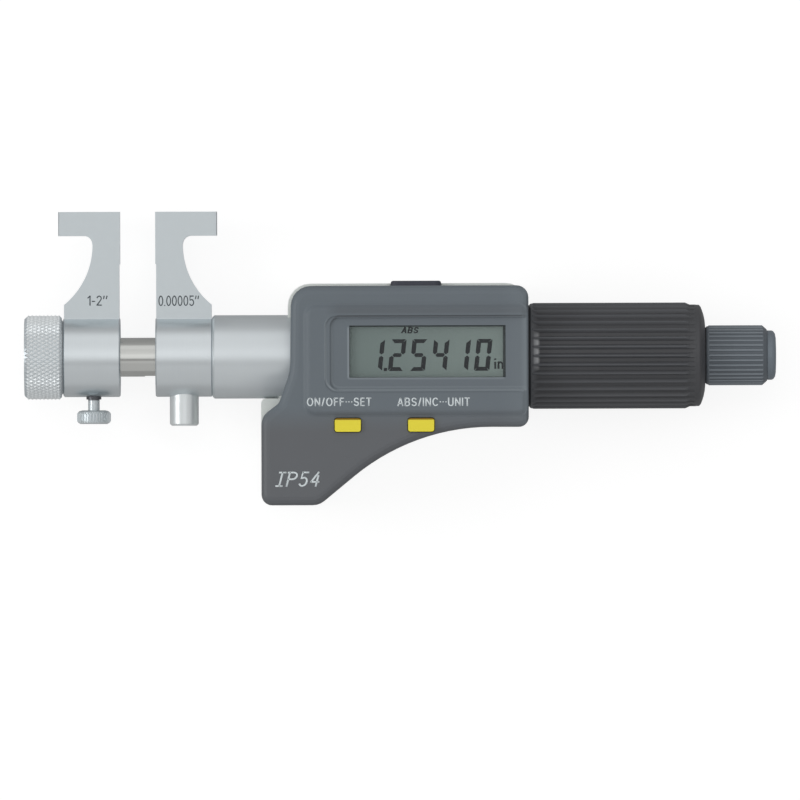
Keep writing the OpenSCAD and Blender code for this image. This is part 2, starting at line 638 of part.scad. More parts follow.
module port_cover() color([0.25, 0.27, 0.36]) {
    intersection() {
        translate([port_x, top_y - rim - 0.2, port_z]) rotate([-90, 0, 0]) linear_extrude(rim + 0.7)
            plate(port_w, port_h, 1.4);
        translate([port_x, top_y - rim / 2 + 0.15, 0]) linear_extrude(axis_z * 2)
            plate(port_w, rim + 0.7, 0.5);
    }
    translate([port_x - port_w / 2 + 1.2, top_y - wall + 0.05, port_z - port_h / 2 + 1.2])
        cube([port_w - 2.4, wall - rim, port_h - 2.4]);
}
module port_connector() color([0.2, 0.2, 0.2]) difference() {
    translate([port_x - port_w / 2 + 1.1, top_y - wall - 3.1, port_z - port_h / 2 + 1.1])
        cube([port_w - 2.2, 3.0, port_h - 2.2]);
    translate([port_x - 3, top_y - wall - 2.1, port_z - 0.5]) cube([6, 3, 1]);
}

cell_z = cap_t + 0.5;
module battery() color([0.8, 0.8, 0.78]) translate([cell_at[0], cell_at[1], cell_z]) {
    cylinder(d = cell_d, h = cell_t - 0.3);
    translate([0, 0, cell_t - 0.3]) cylinder(d = cell_d - 1.6, h = 0.3);
}
module battery_contacts() color([0.85, 0.7, 0.35]) translate([cell_at[0], cell_at[1], cell_z + cell_t]) {
    cylinder(d = 3, h = 0.8);
    translate([-1, -1, 0.4]) cube([cell_d / 2 + 2, 2, 0.4]);
    translate([cell_d / 2 + 0.6, -1, 0.4]) cube([0.4, 2, board_z - cell_z - cell_t - 0.4]);
}
module battery_cap() color([0.3, 0.32, 0.34]) translate([cell_at[0], cell_at[1], 0]) difference() {
    union() {
        translate([0, 0, 0.2]) cylinder(d1 = cap_d - 0.6, d2 = cap_d, h = 0.3);
        translate([0, 0, 0.5]) cylinder(d = cap_d, h = cap_t - 0.8);
    }
    translate([-cap_d / 2 + 2, -0.8, -1]) cube([cap_d - 4, 1.6, 1.9]);
}
module cap_seal() color([0.1, 0.1, 0.1]) translate([cell_at[0], cell_at[1], cap_t - 0.3]) difference() {
    cylinder(d = cap_d - 0.2, h = 0.3);
    translate([0, 0, -1]) cylinder(d = cell_d + 0.4, h = 3);
}

stator_d = 16;
rotor_hub_d = 12;
journal_d = 8;
module encoder_stator() color([0.12, 0.4, 0.24])
    tube(stator_x0, stator_x0 + disc_t, stator_d, journal_d + 0.8);
module encoder_rotor() color([0.15, 0.45, 0.28])
    tube(rotor_hub_x0 - disc_t, rotor_hub_x0, stator_d - 0.6, journal_d + 2 * seat_fit);
module rotor_hub() color([0.72, 0.6, 0.3])
    tube(rotor_hub_x0, rotor_hub_x0 + rotor_hub_l - seat_fit, rotor_hub_d, journal_d + 2 * seat_fit);

// The lead screw's journal is trapped between its flange and the retaining nut
bush_x1 = thimble_x0 + 24;
screw_flange_d = 12.4;
nut_t = 2.4;
nut_d = 13;
nose_d = 6.4;
nose_x1 = thimble_x1 - 2.0;
module spindle_bush() color([0.7, 0.7, 0.68]) difference() {
    union() {
        bar(bush_x0, right_wall_x, bush_flange_d);
        bar(right_wall_x, bush_x1, bush_d);
    }
    bar(bush_x0 - 1, bush_x1 + 1, journal_d + 2 * run_fit);
}
module lead_screw() color([0.66, 0.67, 0.68]) difference() {
    union() {
        on_axis(screw_tip_x) cylinder(d1 = screw_d - 1, d2 = screw_d, h = 0.8);
        bar(screw_tip_x + 0.8, stator_x0 - 0.8, screw_d);
        bar(stator_x0 - 0.8, bush_x0 - thrust_gap, journal_d);
        bar(bush_x0 - thrust_gap - screw_flange_t, bush_x0 - thrust_gap, screw_flange_d);
        bar(bush_x0 - thrust_gap, bush_x1 + thrust_gap + nut_t + 0.6, journal_d);
        on_axis(bush_x1 + thrust_gap + nut_t + 0.6) cylinder(d1 = journal_d, d2 = nose_d, h = 1);
        bar(bush_x1 + thrust_gap + nut_t + 1.6, nose_x1, nose_d);
    }
    bar(nose_x1 - 7, nose_x1 + 1, 2.5);
}
module retaining_nut() color([0.6, 0.6, 0.6]) difference() {
    tube(bush_x1 + thrust_gap, bush_x1 + thrust_gap + nut_t, nut_d, journal_d + 2 * seat_fit);
    for (a = [0, 180]) translate([bush_x1 + thrust_gap + nut_t - 1.2, 0, axis_z]) rotate([a, 0, 0])
        translate([0, 4.6, -0.8]) cube([3, 3, 1.6]);
}

// Ribs rise out of a turned body whose groove floor lifts at both ends
root_d = thimble_d - 2 * groove_depth;
rib_x0 = thimble_x0 + band_l;
rib_x1 = thimble_x1 - end_band_l;
rib_fade = 1.2;
thimble_wall_x = bush_x1 + thrust_gap + nut_t + 1.8;
module thimble() color([0.27, 0.28, 0.30]) difference() {
    union() {
        intersection() {
            on_axis(rib_x0 - 0.1) linear_extrude(rib_x1 - rib_x0 + 0.1)
                ribbed(thimble_ribs, thimble_d, groove_depth, 0.06, 0.2);
            turned([[rib_x0 - 0.2, 0], [rib_x0 - 0.2, thimble_d / 2 - 0.12], [rib_x0, thimble_d / 2 - 0.12],
                [rib_x0 + 0.25, thimble_d / 2 + 0.05], [rib_x1 - rib_fade - 1, thimble_d / 2 + 0.05],
                [rib_x1 - rib_fade, end_band_d / 2 + 0.04], [rib_x1 + 1, end_band_d / 2 + 0.04],
                [rib_x1 + 1, 0]]);
        }
        turned([[thimble_x0, 0], [thimble_x0, thimble_d / 2 - 0.4], [thimble_x0 + 0.3, thimble_d / 2 - 0.1],
            [rib_x0, thimble_d / 2 - 0.1], [rib_x0 + 1.3, root_d / 2 - 0.02],
            [rib_x1 - 0.7, root_d / 2 - 0.02], [rib_x1 - 0.1, end_band_d / 2],
            [thimble_x1 - 1.23, end_band_d / 2], [thimble_x1 - 0.87, end_band_d / 2 - 0.41],
            [thimble_x1 - 0.61, end_band_d / 2 - 1.07], [thimble_x1 - 0.31, end_band_d / 2 - 2],
            [thimble_x1 - 0.08, end_band_d / 2 - 3.1], [thimble_x1, end_band_d / 2 - 4], [thimble_x1, 0]]);
    }
    bar(thimble_x0 - 1, thimble_wall_x, thimble_bore);
    bar(thimble_wall_x - 1, nose_x1, nose_d + 2 * seat_fit);
    bar(nose_x1 - 1, thimble_x1 + 1, 4.2);
}

// Friction ratchet: screw, toothed disc and spring inside the knob
ratchet_floor = 2.0;
ratchet_band = 0.5;
ratchet_bore = 8.6;
shank_d = 4.0;
disc_x0 = ratchet_x0 + ratchet_floor + 0.1;
head_x0 = ratchet_x1 - 3.2;
module ratchet_screw() color([0.6, 0.62, 0.64]) difference() {
    union() {
        bar(nose_x1 - 5.5, nose_x1 + 0.05, 2.46);
        bar(nose_x1 + 0.05, head_x0, shank_d);
        bar(head_x0, head_x0 + 1.6, 7.4);
    }
    translate([head_x0 + 0.8, -5, axis_z - 0.6]) cube([3, 10, 1.2]);
}
module clutch_disc() color([0.7, 0.62, 0.35]) difference() {
    union() {
        bar(disc_x0 + 0.5, disc_x0 + 1.7, ratchet_bore - 0.6);
        intersection() {
            bar(disc_x0, disc_x0 + 0.6, ratchet_bore - 0.6);
            on_axis(disc_x0) linear_extrude(0.6) for (i = [0 : 5]) rotate(60 * i)
                translate([1, -0.7]) square([4, 1.4]);
        }
    }
    bar(disc_x0 - 1, disc_x0 + 3, shank_d + 2 * seat_fit);
}
spring_wire = 0.7;
spring_n = 4;
module ratchet_spring() color([0.55, 0.56, 0.58]) {
    first = disc_x0 + 1.7 + spring_wire / 2 + 0.05;
    pitch = (head_x0 - spring_wire / 2 - 0.05 - first) / (spring_n - 1);
    for (i = [0 : spring_n - 1]) on_axis(first + i * pitch) rotate_extrude()
        translate([shank_d / 2 + 0.6, 0]) circle(d = spring_wire, $fn = 24);
    on_axis(first) for (a = [0, 180]) rotate(a) translate([shank_d / 2 + 0.45, -0.2, 0])
        cube([0.3, 0.4, pitch * (spring_n - 1)]);
}
module ratchet_knob() color([0.36, 0.38, 0.41]) difference() {
    union() {
        intersection() {
            on_axis(ratchet_x0) linear_extrude(ratchet_l)
                ribbed(ratchet_ribs, ratchet_d, 0.26, 0.1, 0.22);
            turned([[ratchet_x0 + ratchet_band, 0], [ratchet_x0 + ratchet_band, ratchet_d / 2],
                [ratchet_x1 - 1, ratchet_d / 2], [ratchet_x1 - 0.2, ratchet_d / 2 - 0.7],
                [ratchet_x1, ratchet_d / 2 - 0.95], [ratchet_x1, 0]]);
        }
        turned([[ratchet_x0, 0], [ratchet_x0, ratchet_d / 2 - 0.25],
            [ratchet_x0 + ratchet_band, ratchet_d / 2 - 0.1],
            [ratchet_x0 + ratchet_band + 0.2, ratchet_d / 2 - 0.28], [ratchet_x0 + ratchet_band + 0.2, 0]]);
    }
    bar(ratchet_x0 - 1, ratchet_x1, shank_d + 2 * run_fit);
    bar(ratchet_x0 + ratchet_floor, ratchet_x1 + 1, ratchet_bore);
}
cap_x1 = ratchet_x1 + end_cap_h;
module ratchet_cap() color([0.42, 0.44, 0.47]) {
    turned([[ratchet_x1 - 1.2, 0], [ratchet_x1 - 1.2, ratchet_bore / 2 - seat_fit],
        [ratchet_x1 + 0.05, ratchet_bore / 2 - seat_fit], [ratchet_x1 + 0.05, end_cap_d / 2],
        [cap_x1 - 0.9, end_cap_d / 2], [cap_x1 - 0.55, end_cap_d / 2 - 0.15],
        [cap_x1 - 0.22, end_cap_d / 2 - 0.6], [cap_x1 - 0.06, end_cap_d / 2 - 1.4],
        [cap_x1, end_cap_d / 2 - 3], [cap_x1, 0]]);
}

moving_jaw();
guide_rod();
adjusting_wheel();
clamp_screw();
fixed_jaw();
key_plug();
rod_wiper();
sleeve();
rear_body();
front_cover();
cover_gasket();
cover_screws();
display_window();
lcd_panel();
lcd_connectors();
circuit_board();
key_switches();
port_connector();
port_cover();
left_button();
right_button();
battery();
battery_contacts();
battery_cap();
cap_seal();
encoder_stator();
encoder_rotor();
rotor_hub();
lead_screw();
spindle_bush();
retaining_nut();
thimble();
ratchet_screw();
clutch_disc();
ratchet_spring();
ratchet_knob();
ratchet_cap();
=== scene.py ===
# %% [markdown]
# # A digital inside micrometer, dressed for its picture
# The imported CAD model already holds every rigid piece of the instrument: jaws, rod, sleeve,
# housing, thimble and ratchet, with their knurl and their ribs. This script keeps those pieces
# where they are and gives them finishes, some of which paint light and shade into their colour. It
# then models what CAD leaves out: the figures of the display, a dark plate at its edge that is a
# painted shadow, the printed words, the etched marks and two thin dark washers that are painted
# shade in the running gaps.

# %% Open the frame
import math

import bpy
from mathutils import Matrix, Vector


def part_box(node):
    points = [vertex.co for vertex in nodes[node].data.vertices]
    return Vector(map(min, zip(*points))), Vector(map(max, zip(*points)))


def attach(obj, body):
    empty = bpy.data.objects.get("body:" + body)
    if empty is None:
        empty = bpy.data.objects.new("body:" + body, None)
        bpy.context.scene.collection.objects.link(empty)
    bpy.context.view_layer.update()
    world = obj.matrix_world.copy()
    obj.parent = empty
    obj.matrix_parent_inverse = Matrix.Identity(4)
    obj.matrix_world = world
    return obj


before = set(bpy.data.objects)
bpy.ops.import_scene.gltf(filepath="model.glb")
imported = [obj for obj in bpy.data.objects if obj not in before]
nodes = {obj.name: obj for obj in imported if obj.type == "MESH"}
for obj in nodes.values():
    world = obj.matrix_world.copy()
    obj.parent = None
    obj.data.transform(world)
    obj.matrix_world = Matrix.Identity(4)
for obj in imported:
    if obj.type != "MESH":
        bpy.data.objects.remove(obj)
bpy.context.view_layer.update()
MM = 0.001
print("CAD nodes in the frame:", len(nodes))

# %% [markdown]
# ## Camera
# The instrument is seen from straight above, lying on its back. An orthographic camera could show
# it so, but a very long lens a few metres away does the same and stays a real camera: both ends
# of the body look equally large, and the sides hardly show. The camera turns by a fifth of a
# degree, because the instrument doesn't lie quite level in the picture.

# %% Look straight down through a long lens
VIEW_CENTRE = (-1.81, -8.74)
VIEW_WIDTH = 160.64
VIEW_TURN = -0.19
CAMERA_HEIGHT = 4.0
SENSOR = 36.0
NEAR, FAR = 0.1, 20

bpy.ops.object.select_all(action="DESELECT")
bpy.ops.object.camera_add(
    location=(VIEW_CENTRE[0] * MM, VIEW_CENTRE[1] * MM, CAMERA_HEIGHT),
    rotation=(0, 0, math.radians(VIEW_TURN)),
)
camera = bpy.context.object
camera.name = "camera"
camera.data.sensor_width = SENSOR
camera.data.lens = SENSOR * CAMERA_HEIGHT / (VIEW_WIDTH * MM)
camera.data.clip_start, camera.data.clip_end = NEAR, FAR
bpy.context.scene.camera = camera
print("lens in mm:", round(camera.data.lens))

# %% [markdown]
# ## Shader maths in plain Python
# A procedural finish is a small network of nodes. Written out by hand it hides the idea, so
# `Value` wraps a socket and turns +, - and * into Math nodes, and one method of `Shader` adds
# every other node with its settings and inputs. Masks use `rise`, a soft step between two places.


# %% Write node networks as expressions
class Value:
    """A number that changes over a surface; maths on it adds Math nodes."""

    def __init__(self, shader, socket):
        self.shader, self.socket = shader, socket

    def maths(self, operation, first, second):
        node = self.shader.node("ShaderNodeMath", {"operation": operation}, {0: first, 1: second})
        return Value(self.shader, node.outputs[0])

    def __add__(self, other):
        return self.maths("ADD", self, other)

    def __sub__(self, other):
        return self.maths("SUBTRACT", self, other)

    def __mul__(self, other):
        return self.maths("MULTIPLY", self, other)

    def __rsub__(self, other):
        return self.maths("SUBTRACT", other, self)

    __radd__ = __add__
    __rmul__ = __mul__

    def most(self, other):
        return self.maths("MAXIMUM", self, other)

    def angle_to(self, other):
        return self.maths("ARCTAN2", self, other)

    def power(self, other):
        return self.maths("POWER", self, other)

    def size(self):
        return self.maths("ABSOLUTE", self, 0.0)

    def rise(self, low, high):
        """0 below low, 1 above high and a straight line between them; both are in mm."""
        limits = {"Value": self, "From Min": low * MM, "From Max": high * MM}
        node = self.shader.node("ShaderNodeMapRange", {"clamp": True}, limits)
        return Value(self.shader, node.outputs[0])

    def fall(self, low, high):
        """The other way round: 1 below low and 0 above high."""
        return 1 - self.rise(low, high)


class Shader:
    """A node tree that is filled by code."""

    def __init__(self, tree):
        self.tree = tree
        tree.nodes.clear()

    def node(self, kind, settings=None, inputs=None):
        node = self.tree.nodes.new(kind)
        for key, setting in (settings or {}).items():
            if key == "stops":
                elements = node.color_ramp.elements
                elements.remove(elements[1])
                for i, (position, grey) in enumerate(setting):
                    element = elements.new(position) if i else elements[0]
                    element.position, element.color = position, (grey, grey, grey, 1)
            else:
                setattr(node, key, setting)
        for key, given in (inputs or {}).items():
            given = given.socket if isinstance(given, Value) else given
            if isinstance(given, bpy.types.NodeSocket):
                self.tree.links.new(given, node.inputs[key])
            else:
                node.inputs[key].default_value = given
        return node

    def blend(self, share, first, second):
        """A colour between two colours."""
        mix = self.node("ShaderNodeMix", {"data_type": "RGBA"}, {0: share, 6: first, 7: second})
        return mix.outputs[2]


def srgb(red, green, blue):
    """A colour as a picture gives it, 0 to 255, turned into the light that Blender works in."""
    return tuple(((c / 255 + 0.055) / 1.055) ** 2.4 for c in (red, green, blue)) + (1.0,)


print("a middle grey in linear light:", [round(c, 3) for c in srgb(128, 128, 128)[:3]])

# %% [markdown]
# ## Studio
# A cylinder of satin steel is a picture of the room around it. The room here is a pale tent with
# a darker gap overhead, where a camera would look in, and its brightest wall on the side of the
# hooks. It could be built from white walls or read from a panorama. A ramp over the angle round
# the instrument's length is simpler: each stop is one strip of the tent, and moving a stop moves
# one band of light on the steel. The tent does nearly all of the lighting, at a level where a
# colour renders as it is written, and three broad soft lamps add a little direction. The lamp on
# the left is the strongest, because the ends of the blades catch the light on that side. The
# floor shows white to the camera and takes a faint shadow.

# %% Build the tent as a ramp round the instrument's length
FULL_TURN = 2 * math.pi
TENT = [
    (-180, 0.32),
    (-128, 0.34),
    (-98, 0.44),
    (-68, 0.46),
    (-40, 0.46),
    (-26, 0.58),
    (-19, 0.28),
    (-10, 0.28),
    (-3, 0.74),
    (12, 0.8),
    (22, 0.62),
    (44, 0.54),
    (56, 0.64),
    (80, 0.54),
    (116, 0.42),
    (180, 0.34),
]
WHITE = (1, 1, 1, 1)

world = bpy.data.worlds.new("studio_tent")
world.use_nodes = True
bpy.context.scene.world = world
sky = Shader(world.node_tree)
direction = sky.node("ShaderNodeTexCoord").outputs["Generated"]
axes = sky.node("ShaderNodeSeparateXYZ", {}, {0: direction}).outputs
around = Value(sky, axes["Y"]).angle_to(Value(sky, axes["Z"]))
ramp = sky.node(
    "ShaderNodeValToRGB",
    {"stops": [(angle / 360 + 0.5, level) for angle, level in TENT]},
    {0: around * (1 / FULL_TURN) + 0.5},
)
rays = sky.node("ShaderNodeLightPath").outputs
tent = sky.node("ShaderNodeBackground", {}, {"Color": ramp.outputs[0], "Strength": 1.0})
backdrop = sky.node("ShaderNodeBackground", {}, {"Color": WHITE, "Strength": 1.0})
shown = {0: rays["Is Camera Ray"], 1: tent.outputs[0], 2: backdrop.outputs[0]}
seen = sky.node("ShaderNodeMixShader", {}, shown)
sky.node("ShaderNodeOutputWorld", {}, {0: seen.outputs[0]})
print("levels round the tent:", len(TENT))


# %% Hang the soft lamps
def soft_lamp(name, place, size, power):
    """A broad soft lamp that faces the instrument from a place given in metres."""
    facing = Vector(place).to_track_quat("Z", "X").to_euler()
    bpy.ops.object.select_all(action="DESELECT")
    bpy.ops.object.light_add(type="AREA", location=place, rotation=facing)
    lamp = bpy.context.object
    lamp.name = name
    lamp.data.shape = "RECTANGLE"
    lamp.data.size, lamp.data.size_y = size
    lamp.data.energy = power


soft_lamp("key_lamp", (0, 0.48, 0.76), (1.6, 0.5), 0.85)
soft_lamp("fill_lamp", (0, -0.67, 0.6), (1.6, 0.6), 0.5)
soft_lamp("side_lamp", (-1.15, 0.1, 0.75), (0.5, 0.5), 3.6)

# %% Lay the floor
FLOOR_SIZE = 4
FLOOR_DROP = 0.02
FLOOR_GREY = (0.26, 0.26, 0.26, 1)
FLOOR_GLOW = 0.84
IN_MIRRORS = 0.3

bpy.ops.object.select_all(action="DESELECT")
bpy.ops.mesh.primitive_plane_add(size=FLOOR_SIZE, location=(0, 0, -FLOOR_DROP * MM))
floor = bpy.context.object
floor.name = "floor"
floor_material = bpy.data.materials.new("pale_floor")
floor_material.use_nodes = True
ground = Shader(floor_material.node_tree)
rays = ground.node("ShaderNodeLightPath").outputs
matte = ground.node("ShaderNodeBsdfDiffuse", {}, {"Color": FLOOR_GREY})
shown = (
    Value(ground, rays["Is Camera Ray"])
    .most(Value(ground, rays["Is Glossy Ray"]) * IN_MIRRORS)
    .most(Value(ground, rays["Is Transmission Ray"]) * IN_MIRRORS)
)
glow = ground.node("ShaderNodeEmission", {}, {"Color": WHITE, "Strength": shown * FLOOR_GLOW})
both = ground.node("ShaderNodeAddShader", {}, {0: matte.outputs[0], 1: glow.outputs[0]})
ground.node("ShaderNodeOutputMaterial", {}, {0: both.outputs[0]})
floor.data.materials.append(floor_material)
print("floor size:", [round(s, 2) for s in floor.dimensions])

# %% [markdown]
# ## Finishes
# Every finish starts from the same idea: a main colour with a slight mottle, a roughness that
# wanders with it, and a fine relief in a Bump node. Pictures of surfaces would need files and an
# unwrapped mesh, so noise does it all, and it has no seams and no repeats. The size and the
# direction of the noise tell the finishes apart. Noise that is stretched round the spindle reads
# as turning marks, an even and tiny noise as blasted steel, and a coarser one as the sparked
# surface of a mould.


# %% A finish from noise, colour and relief
SPINDLE_HEIGHT = 11.2
SPREAD = 0.08
EVEN = (1, 1, 1)
ROUND_X = (1, 80, 80)


class Finish(Shader):
    """A material whose colour, roughness and relief follow the object's own coordinates."""

    def __init__(self, name):
        self.material = bpy.data.materials.new(name)
        self.material.use_nodes = True
        super().__init__(self.material.node_tree)
        self.place = self.node("ShaderNodeTexCoord").outputs["Object"]

    def along(self, axis):
        """The coordinate along one axis, in metres."""
        parts = self.node("ShaderNodeSeparateXYZ", {}, {0: self.place})
        return Value(self, parts.outputs[axis])

    def reach(self):
        """The distance from the spindle's axis, in metres."""
        to_axis = (0, 0, -SPINDLE_HEIGHT * MM)
        flattened = {"Vector": self.place, "Location": to_axis, "Scale": (0, 1, 1)}
        across = self.node("ShaderNodeMapping", {}, flattened)
        length = self.node("ShaderNodeVectorMath", {"operation": "LENGTH"}, {0: across.outputs[0]})
        return Value(self, length.outputs[1])

    def noise(self, size, stretch=EVEN, detail=2.0):
        """A noise whose grains are size mm long, stretched along each axis."""
        scale = [1 / (size * MM * s) for s in stretch]
        placed = self.node("ShaderNodeMapping", {}, {"Vector": self.place, "Scale": scale})
        grains = {"Vector": placed.outputs[0], "Scale": 1.0, "Detail": detail}
        return Value(self, self.node("ShaderNodeTexNoise", {}, grains).outputs[0])

    def mottled(self, colour, share, amount):
        """A colour that strays by an amount as share goes from 0 to 1."""
        return self.blend(share, shade(colour, 1 - amount), shade(colour, 1 + amount))

    def close(self, colour, roughness, metallic, relief, height, more=None):
        """Feeds the surface shader and ends the network."""
        bump = {"Strength": 1.0, "Distance": height * MM, "Height": relief}
        raised = self.node("ShaderNodeBump", {}, bump)
        sockets = {
            "Base Color": colour,
            "Roughness": roughness,
            "Metallic": metallic,
            "Normal": raised.outputs[0],
            **(more or {}),
        }
        surface = self.node("ShaderNodeBsdfPrincipled", {}, sockets)
        self.node("ShaderNodeOutputMaterial", {}, {0: surface.outputs[0]})
        return self.material


def shade(colour, factor):
    """The same colour, lighter or darker."""
    return tuple(min(1.0, c * factor) for c in colour[:3]) + (1.0,)


def surface(name, colour, roughness, metallic, mottle, grain, height, stretch=EVEN, more=None):
    """A finish in one call: mottle is its size in mm and how far the colour strays."""
    made = Finish(name)
    size, strays = mottle
    patches = made.noise(size, EVEN if stretch == EVEN else (1, 3, 3), 3.0)
    grains = made.noise(grain, stretch)
    tint = made.mottled(colour, patches, strays)
    rough = grains * SPREAD + patches * SPREAD + (roughness - SPREAD)
    return made.close(tint, rough, metallic, grains, height, more)


print("noise stretched round the spindle:", ROUND_X)

# %% [markdown]
# ## Steel and plating
# The rod is ground and runs bright, and the sleeve is turned satin. The screws and the plug are
# plated and a little shinier. A jaw is one piece of steel with two finishes: its flat blade is
# blasted and reads as an even grey, and its collar is turned, so it mirrors the room as a soft
# bright band. Two materials could part them face by face, but the edge would follow the mesh. A
# mask on the distance from the spindle towards the hooks draws it where the machinist did.


# %% Blast the blade and turn the collar of a jaw
BLADE_BEGINS = (7.7, 7.85)


def jaw_steel(name, blade_colour, collar_colour):
    """Steel that is blasted on the blade and turned on the collar."""
    made = Finish(name)
    blade = made.along("Y").rise(*BLADE_BEGINS)
    patches = made.noise(3.0, detail=3.0)
    blasted = made.noise(0.09)
    turned = made.noise(0.07, ROUND_X)
    on_collar = made.mottled(collar_colour, turned, 0.03)
    on_blade = made.mottled(blade_colour, patches, 0.02)
    tint = made.blend(blade, on_collar, on_blade)
    rough = blade * 0.2 + patches * 0.05 + 0.3
    relief = blasted * blade + turned * (1 - blade) * 0.5
    return made.close(tint, rough, 1.0, relief, 0.004)


print("jaw finish ready:", jaw_steel.__name__)


# %% [markdown]
# ## Grips
# A knurl or a rib is painted paler on its top than in its groove: the groove gets a painted shade,
# where less light gets in, and the top a painted highlight. The faces of each groove could have a
# material of their own, but a knurl has thousands of them. The distance from the spindle's axis
# tells the two apart, so one finish serves every round grip. The thimble's grooves run out at its
# left end, and where the ones that face up catch the light, a painted glint lights them.


# %% Paint shade deep between knurls and ribs, and highlights on them
ALONG_X = (3, 1, 1)
GLINT_ACROSS = (-3, -1.5, 3.5, 5)


def gripped(name, deep, proud, radii, roughness, metallic, grain, height, glint=None):
    """A finish for a round grip: painted shade between its ribs, at the lower radius, and a
    painted highlight on them.

    A painted glint, given by its two ends along X and its colour, lights the grooves where they
    run out.
    """
    made = Finish(name)
    rise = made.reach().rise(*radii)
    patches = made.noise(3.0, ALONG_X, 3.0)
    grains = made.noise(grain, ALONG_X)
    valley = made.mottled(deep, patches, 0.06)
    if glint:
        first, last, colour = glint
        along = made.along("X").rise(first, first + 0.2) * made.along("X").fall(last, last + 0.5)
        across = made.along("Y").rise(*GLINT_ACROSS[:2]) * made.along("Y").fall(*GLINT_ACROSS[2:])
        valley = made.blend(along * across, valley, colour)
    # The grooves get a painted shade and the tops a painted highlight.
    tint = made.blend(rise, valley, made.mottled(proud, patches, 0.06))
    rough = patches * 0.1 + grains * 0.08 + (roughness - 0.09)
    return made.close(tint, rough, metallic, grains, height)


print("grip finish ready:", gripped.__name__)


# %% [markdown]
# ## Steel in the shade
# Two pieces differ in one place only. The clamp screw's neck has a painted shadow: it is dark
# where it stands in the shadow of the collar. The sleeve stays bright right up to the dark cover
# in the picture, so it mirrors less there than on the rest of its length. No lamp can leave out so
# small a spot, so each is a mask along an axis.


# %% Paint a shadow on the neck of the clamp screw
NECK_SHADOW_BAND = (-8.75, -8.45)


def neck_steel(name, neck, head):
    """Plated steel with a painted shadow on its neck where it enters the collar."""
    made = Finish(name)
    under = made.along("Y").rise(*NECK_SHADOW_BAND)
    patches = made.noise(2.0, detail=3.0)
    grains = made.noise(0.12)
    # The neck's dark colour is a painted shadow.
    tint = made.blend(under, made.mottled(head, patches, 0.05), neck)
    return made.close(tint, patches * 0.08 + 0.34, 0.6, grains, 0.003)


print("clamp screw finish ready:", neck_steel.__name__)


# %% Turn the sleeve, duller where it meets the housing
TOWARDS_HOUSING = (-38, -31)
LOWER_HALF = (-5, -1.5)


def sleeve_steel(name, colour):
    """Satin steel that mirrors less towards the housing, on its lower half."""
    made = Finish(name)
    dull = made.along("X").rise(*TOWARDS_HOUSING) * made.along("Y").fall(*LOWER_HALF)
    patches = made.noise(4.0, (1, 3, 3), 3.0)
    turned = made.noise(0.08, ROUND_X)
    tint = made.mottled(colour, patches, 0.02)
    rough = patches * 0.08 + turned * 0.08 + 0.28
    return made.close(tint, rough, 0.8 - dull * 0.7, turned, 0.002)


print("sleeve finish ready:", sleeve_steel.__name__)

# %% Mix the metals
PLAIN_METALS = {
    # name: colour, roughness, metallic, mottle, grain, height
    "plated_plug": (srgb(232, 237, 238), 0.34, 0.5, (2, 0.03), 0.1, 0.003),
    "silver_casting": (srgb(240, 245, 241), 0.45, 0.15, (3, 0.03), 0.2, 0.006),
    "screw_steel": (srgb(150, 152, 155), 0.35, 1.0, (1, 0.05), 0.1, 0.003),
    "contact_brass": (srgb(200, 170, 95), 0.3, 1.0, (2, 0.04), 0.1, 0.003),
    "battery_can": (srgb(205, 205, 200), 0.25, 1.0, (3, 0.02), 0.08, 0.002),
}
TURNED_METALS = {
    # the same columns
    "polished_rod": (srgb(200, 201, 198), 0.13, 1.0, (6, 0.02), 0.05, 0.0012),
    "bush_steel": (srgb(185, 185, 180), 0.35, 1.0, (3, 0.03), 0.08, 0.002),
    "cap_satin": (srgb(122, 132, 141), 0.5, 0.2, (2, 0.04), 0.08, 0.002),
}
KNURL_RADII = (8.0, 8.3)
metals = {name: surface(name, *recipe) for name, recipe in PLAIN_METALS.items()}
metals |= {name: surface(name, *recipe, ROUND_X) for name, recipe in TURNED_METALS.items()}
metals["satin_chrome"] = jaw_steel("satin_chrome", srgb(214, 221, 224), srgb(216, 222, 225))
metals["satin_sleeve"] = sleeve_steel("satin_sleeve", srgb(218, 224, 227))
# The first colour is the painted shadow on the neck.
metals["plated_screw"] = neck_steel("plated_screw", srgb(92, 93, 97), srgb(214, 221, 224))
# Painted shade in the knurl's grooves and a painted highlight on its diamonds.
knurl_groove_shade, knurl_top_highlight = srgb(196, 203, 207), srgb(246, 252, 255)
metals["knurled_chrome"] = gripped(
    "knurled_chrome", knurl_groove_shade, knurl_top_highlight, KNURL_RADII, 0.34, 0.4, 0.08, 0.002
)
print("metals:", len(metals))

# %% [markdown]
# ## Plastic, rubber and glass
# The cover is a mid-grey moulding with a fine sparked texture. The thimble is dark and satin, and
# the ratchet is a cooler grey. The buttons are yellow with a painted shade on their upper edge,
# and the port's cover is navy. The display is a grey-green panel that gets lighter to the right. A
# clear pane lies over it. It could bend the light as real glass does, but a flat pane this thin
# shows nothing of that, so a low Alpha makes it see-through and leaves the picture free of noise.


# %% Colour the display and the buttons by place
def two_tone(name, axis, limits, first, second, roughness, grain, height):
    """A plastic whose colour changes between two places on one axis, given in mm."""
    made = Finish(name)
    share = made.along(axis).rise(*limits)
    patches = made.noise(2.0, detail=3.0)
    grains = made.noise(grain)
    before, after = made.mottled(first, patches, 0.03), made.mottled(second, patches, 0.03)
    tint = made.blend(share, before, after)
    return made.close(tint, patches * 0.08 + (roughness - 0.04), 0.0, grains, height)


print("two-tone finish ready:", two_tone.__name__)

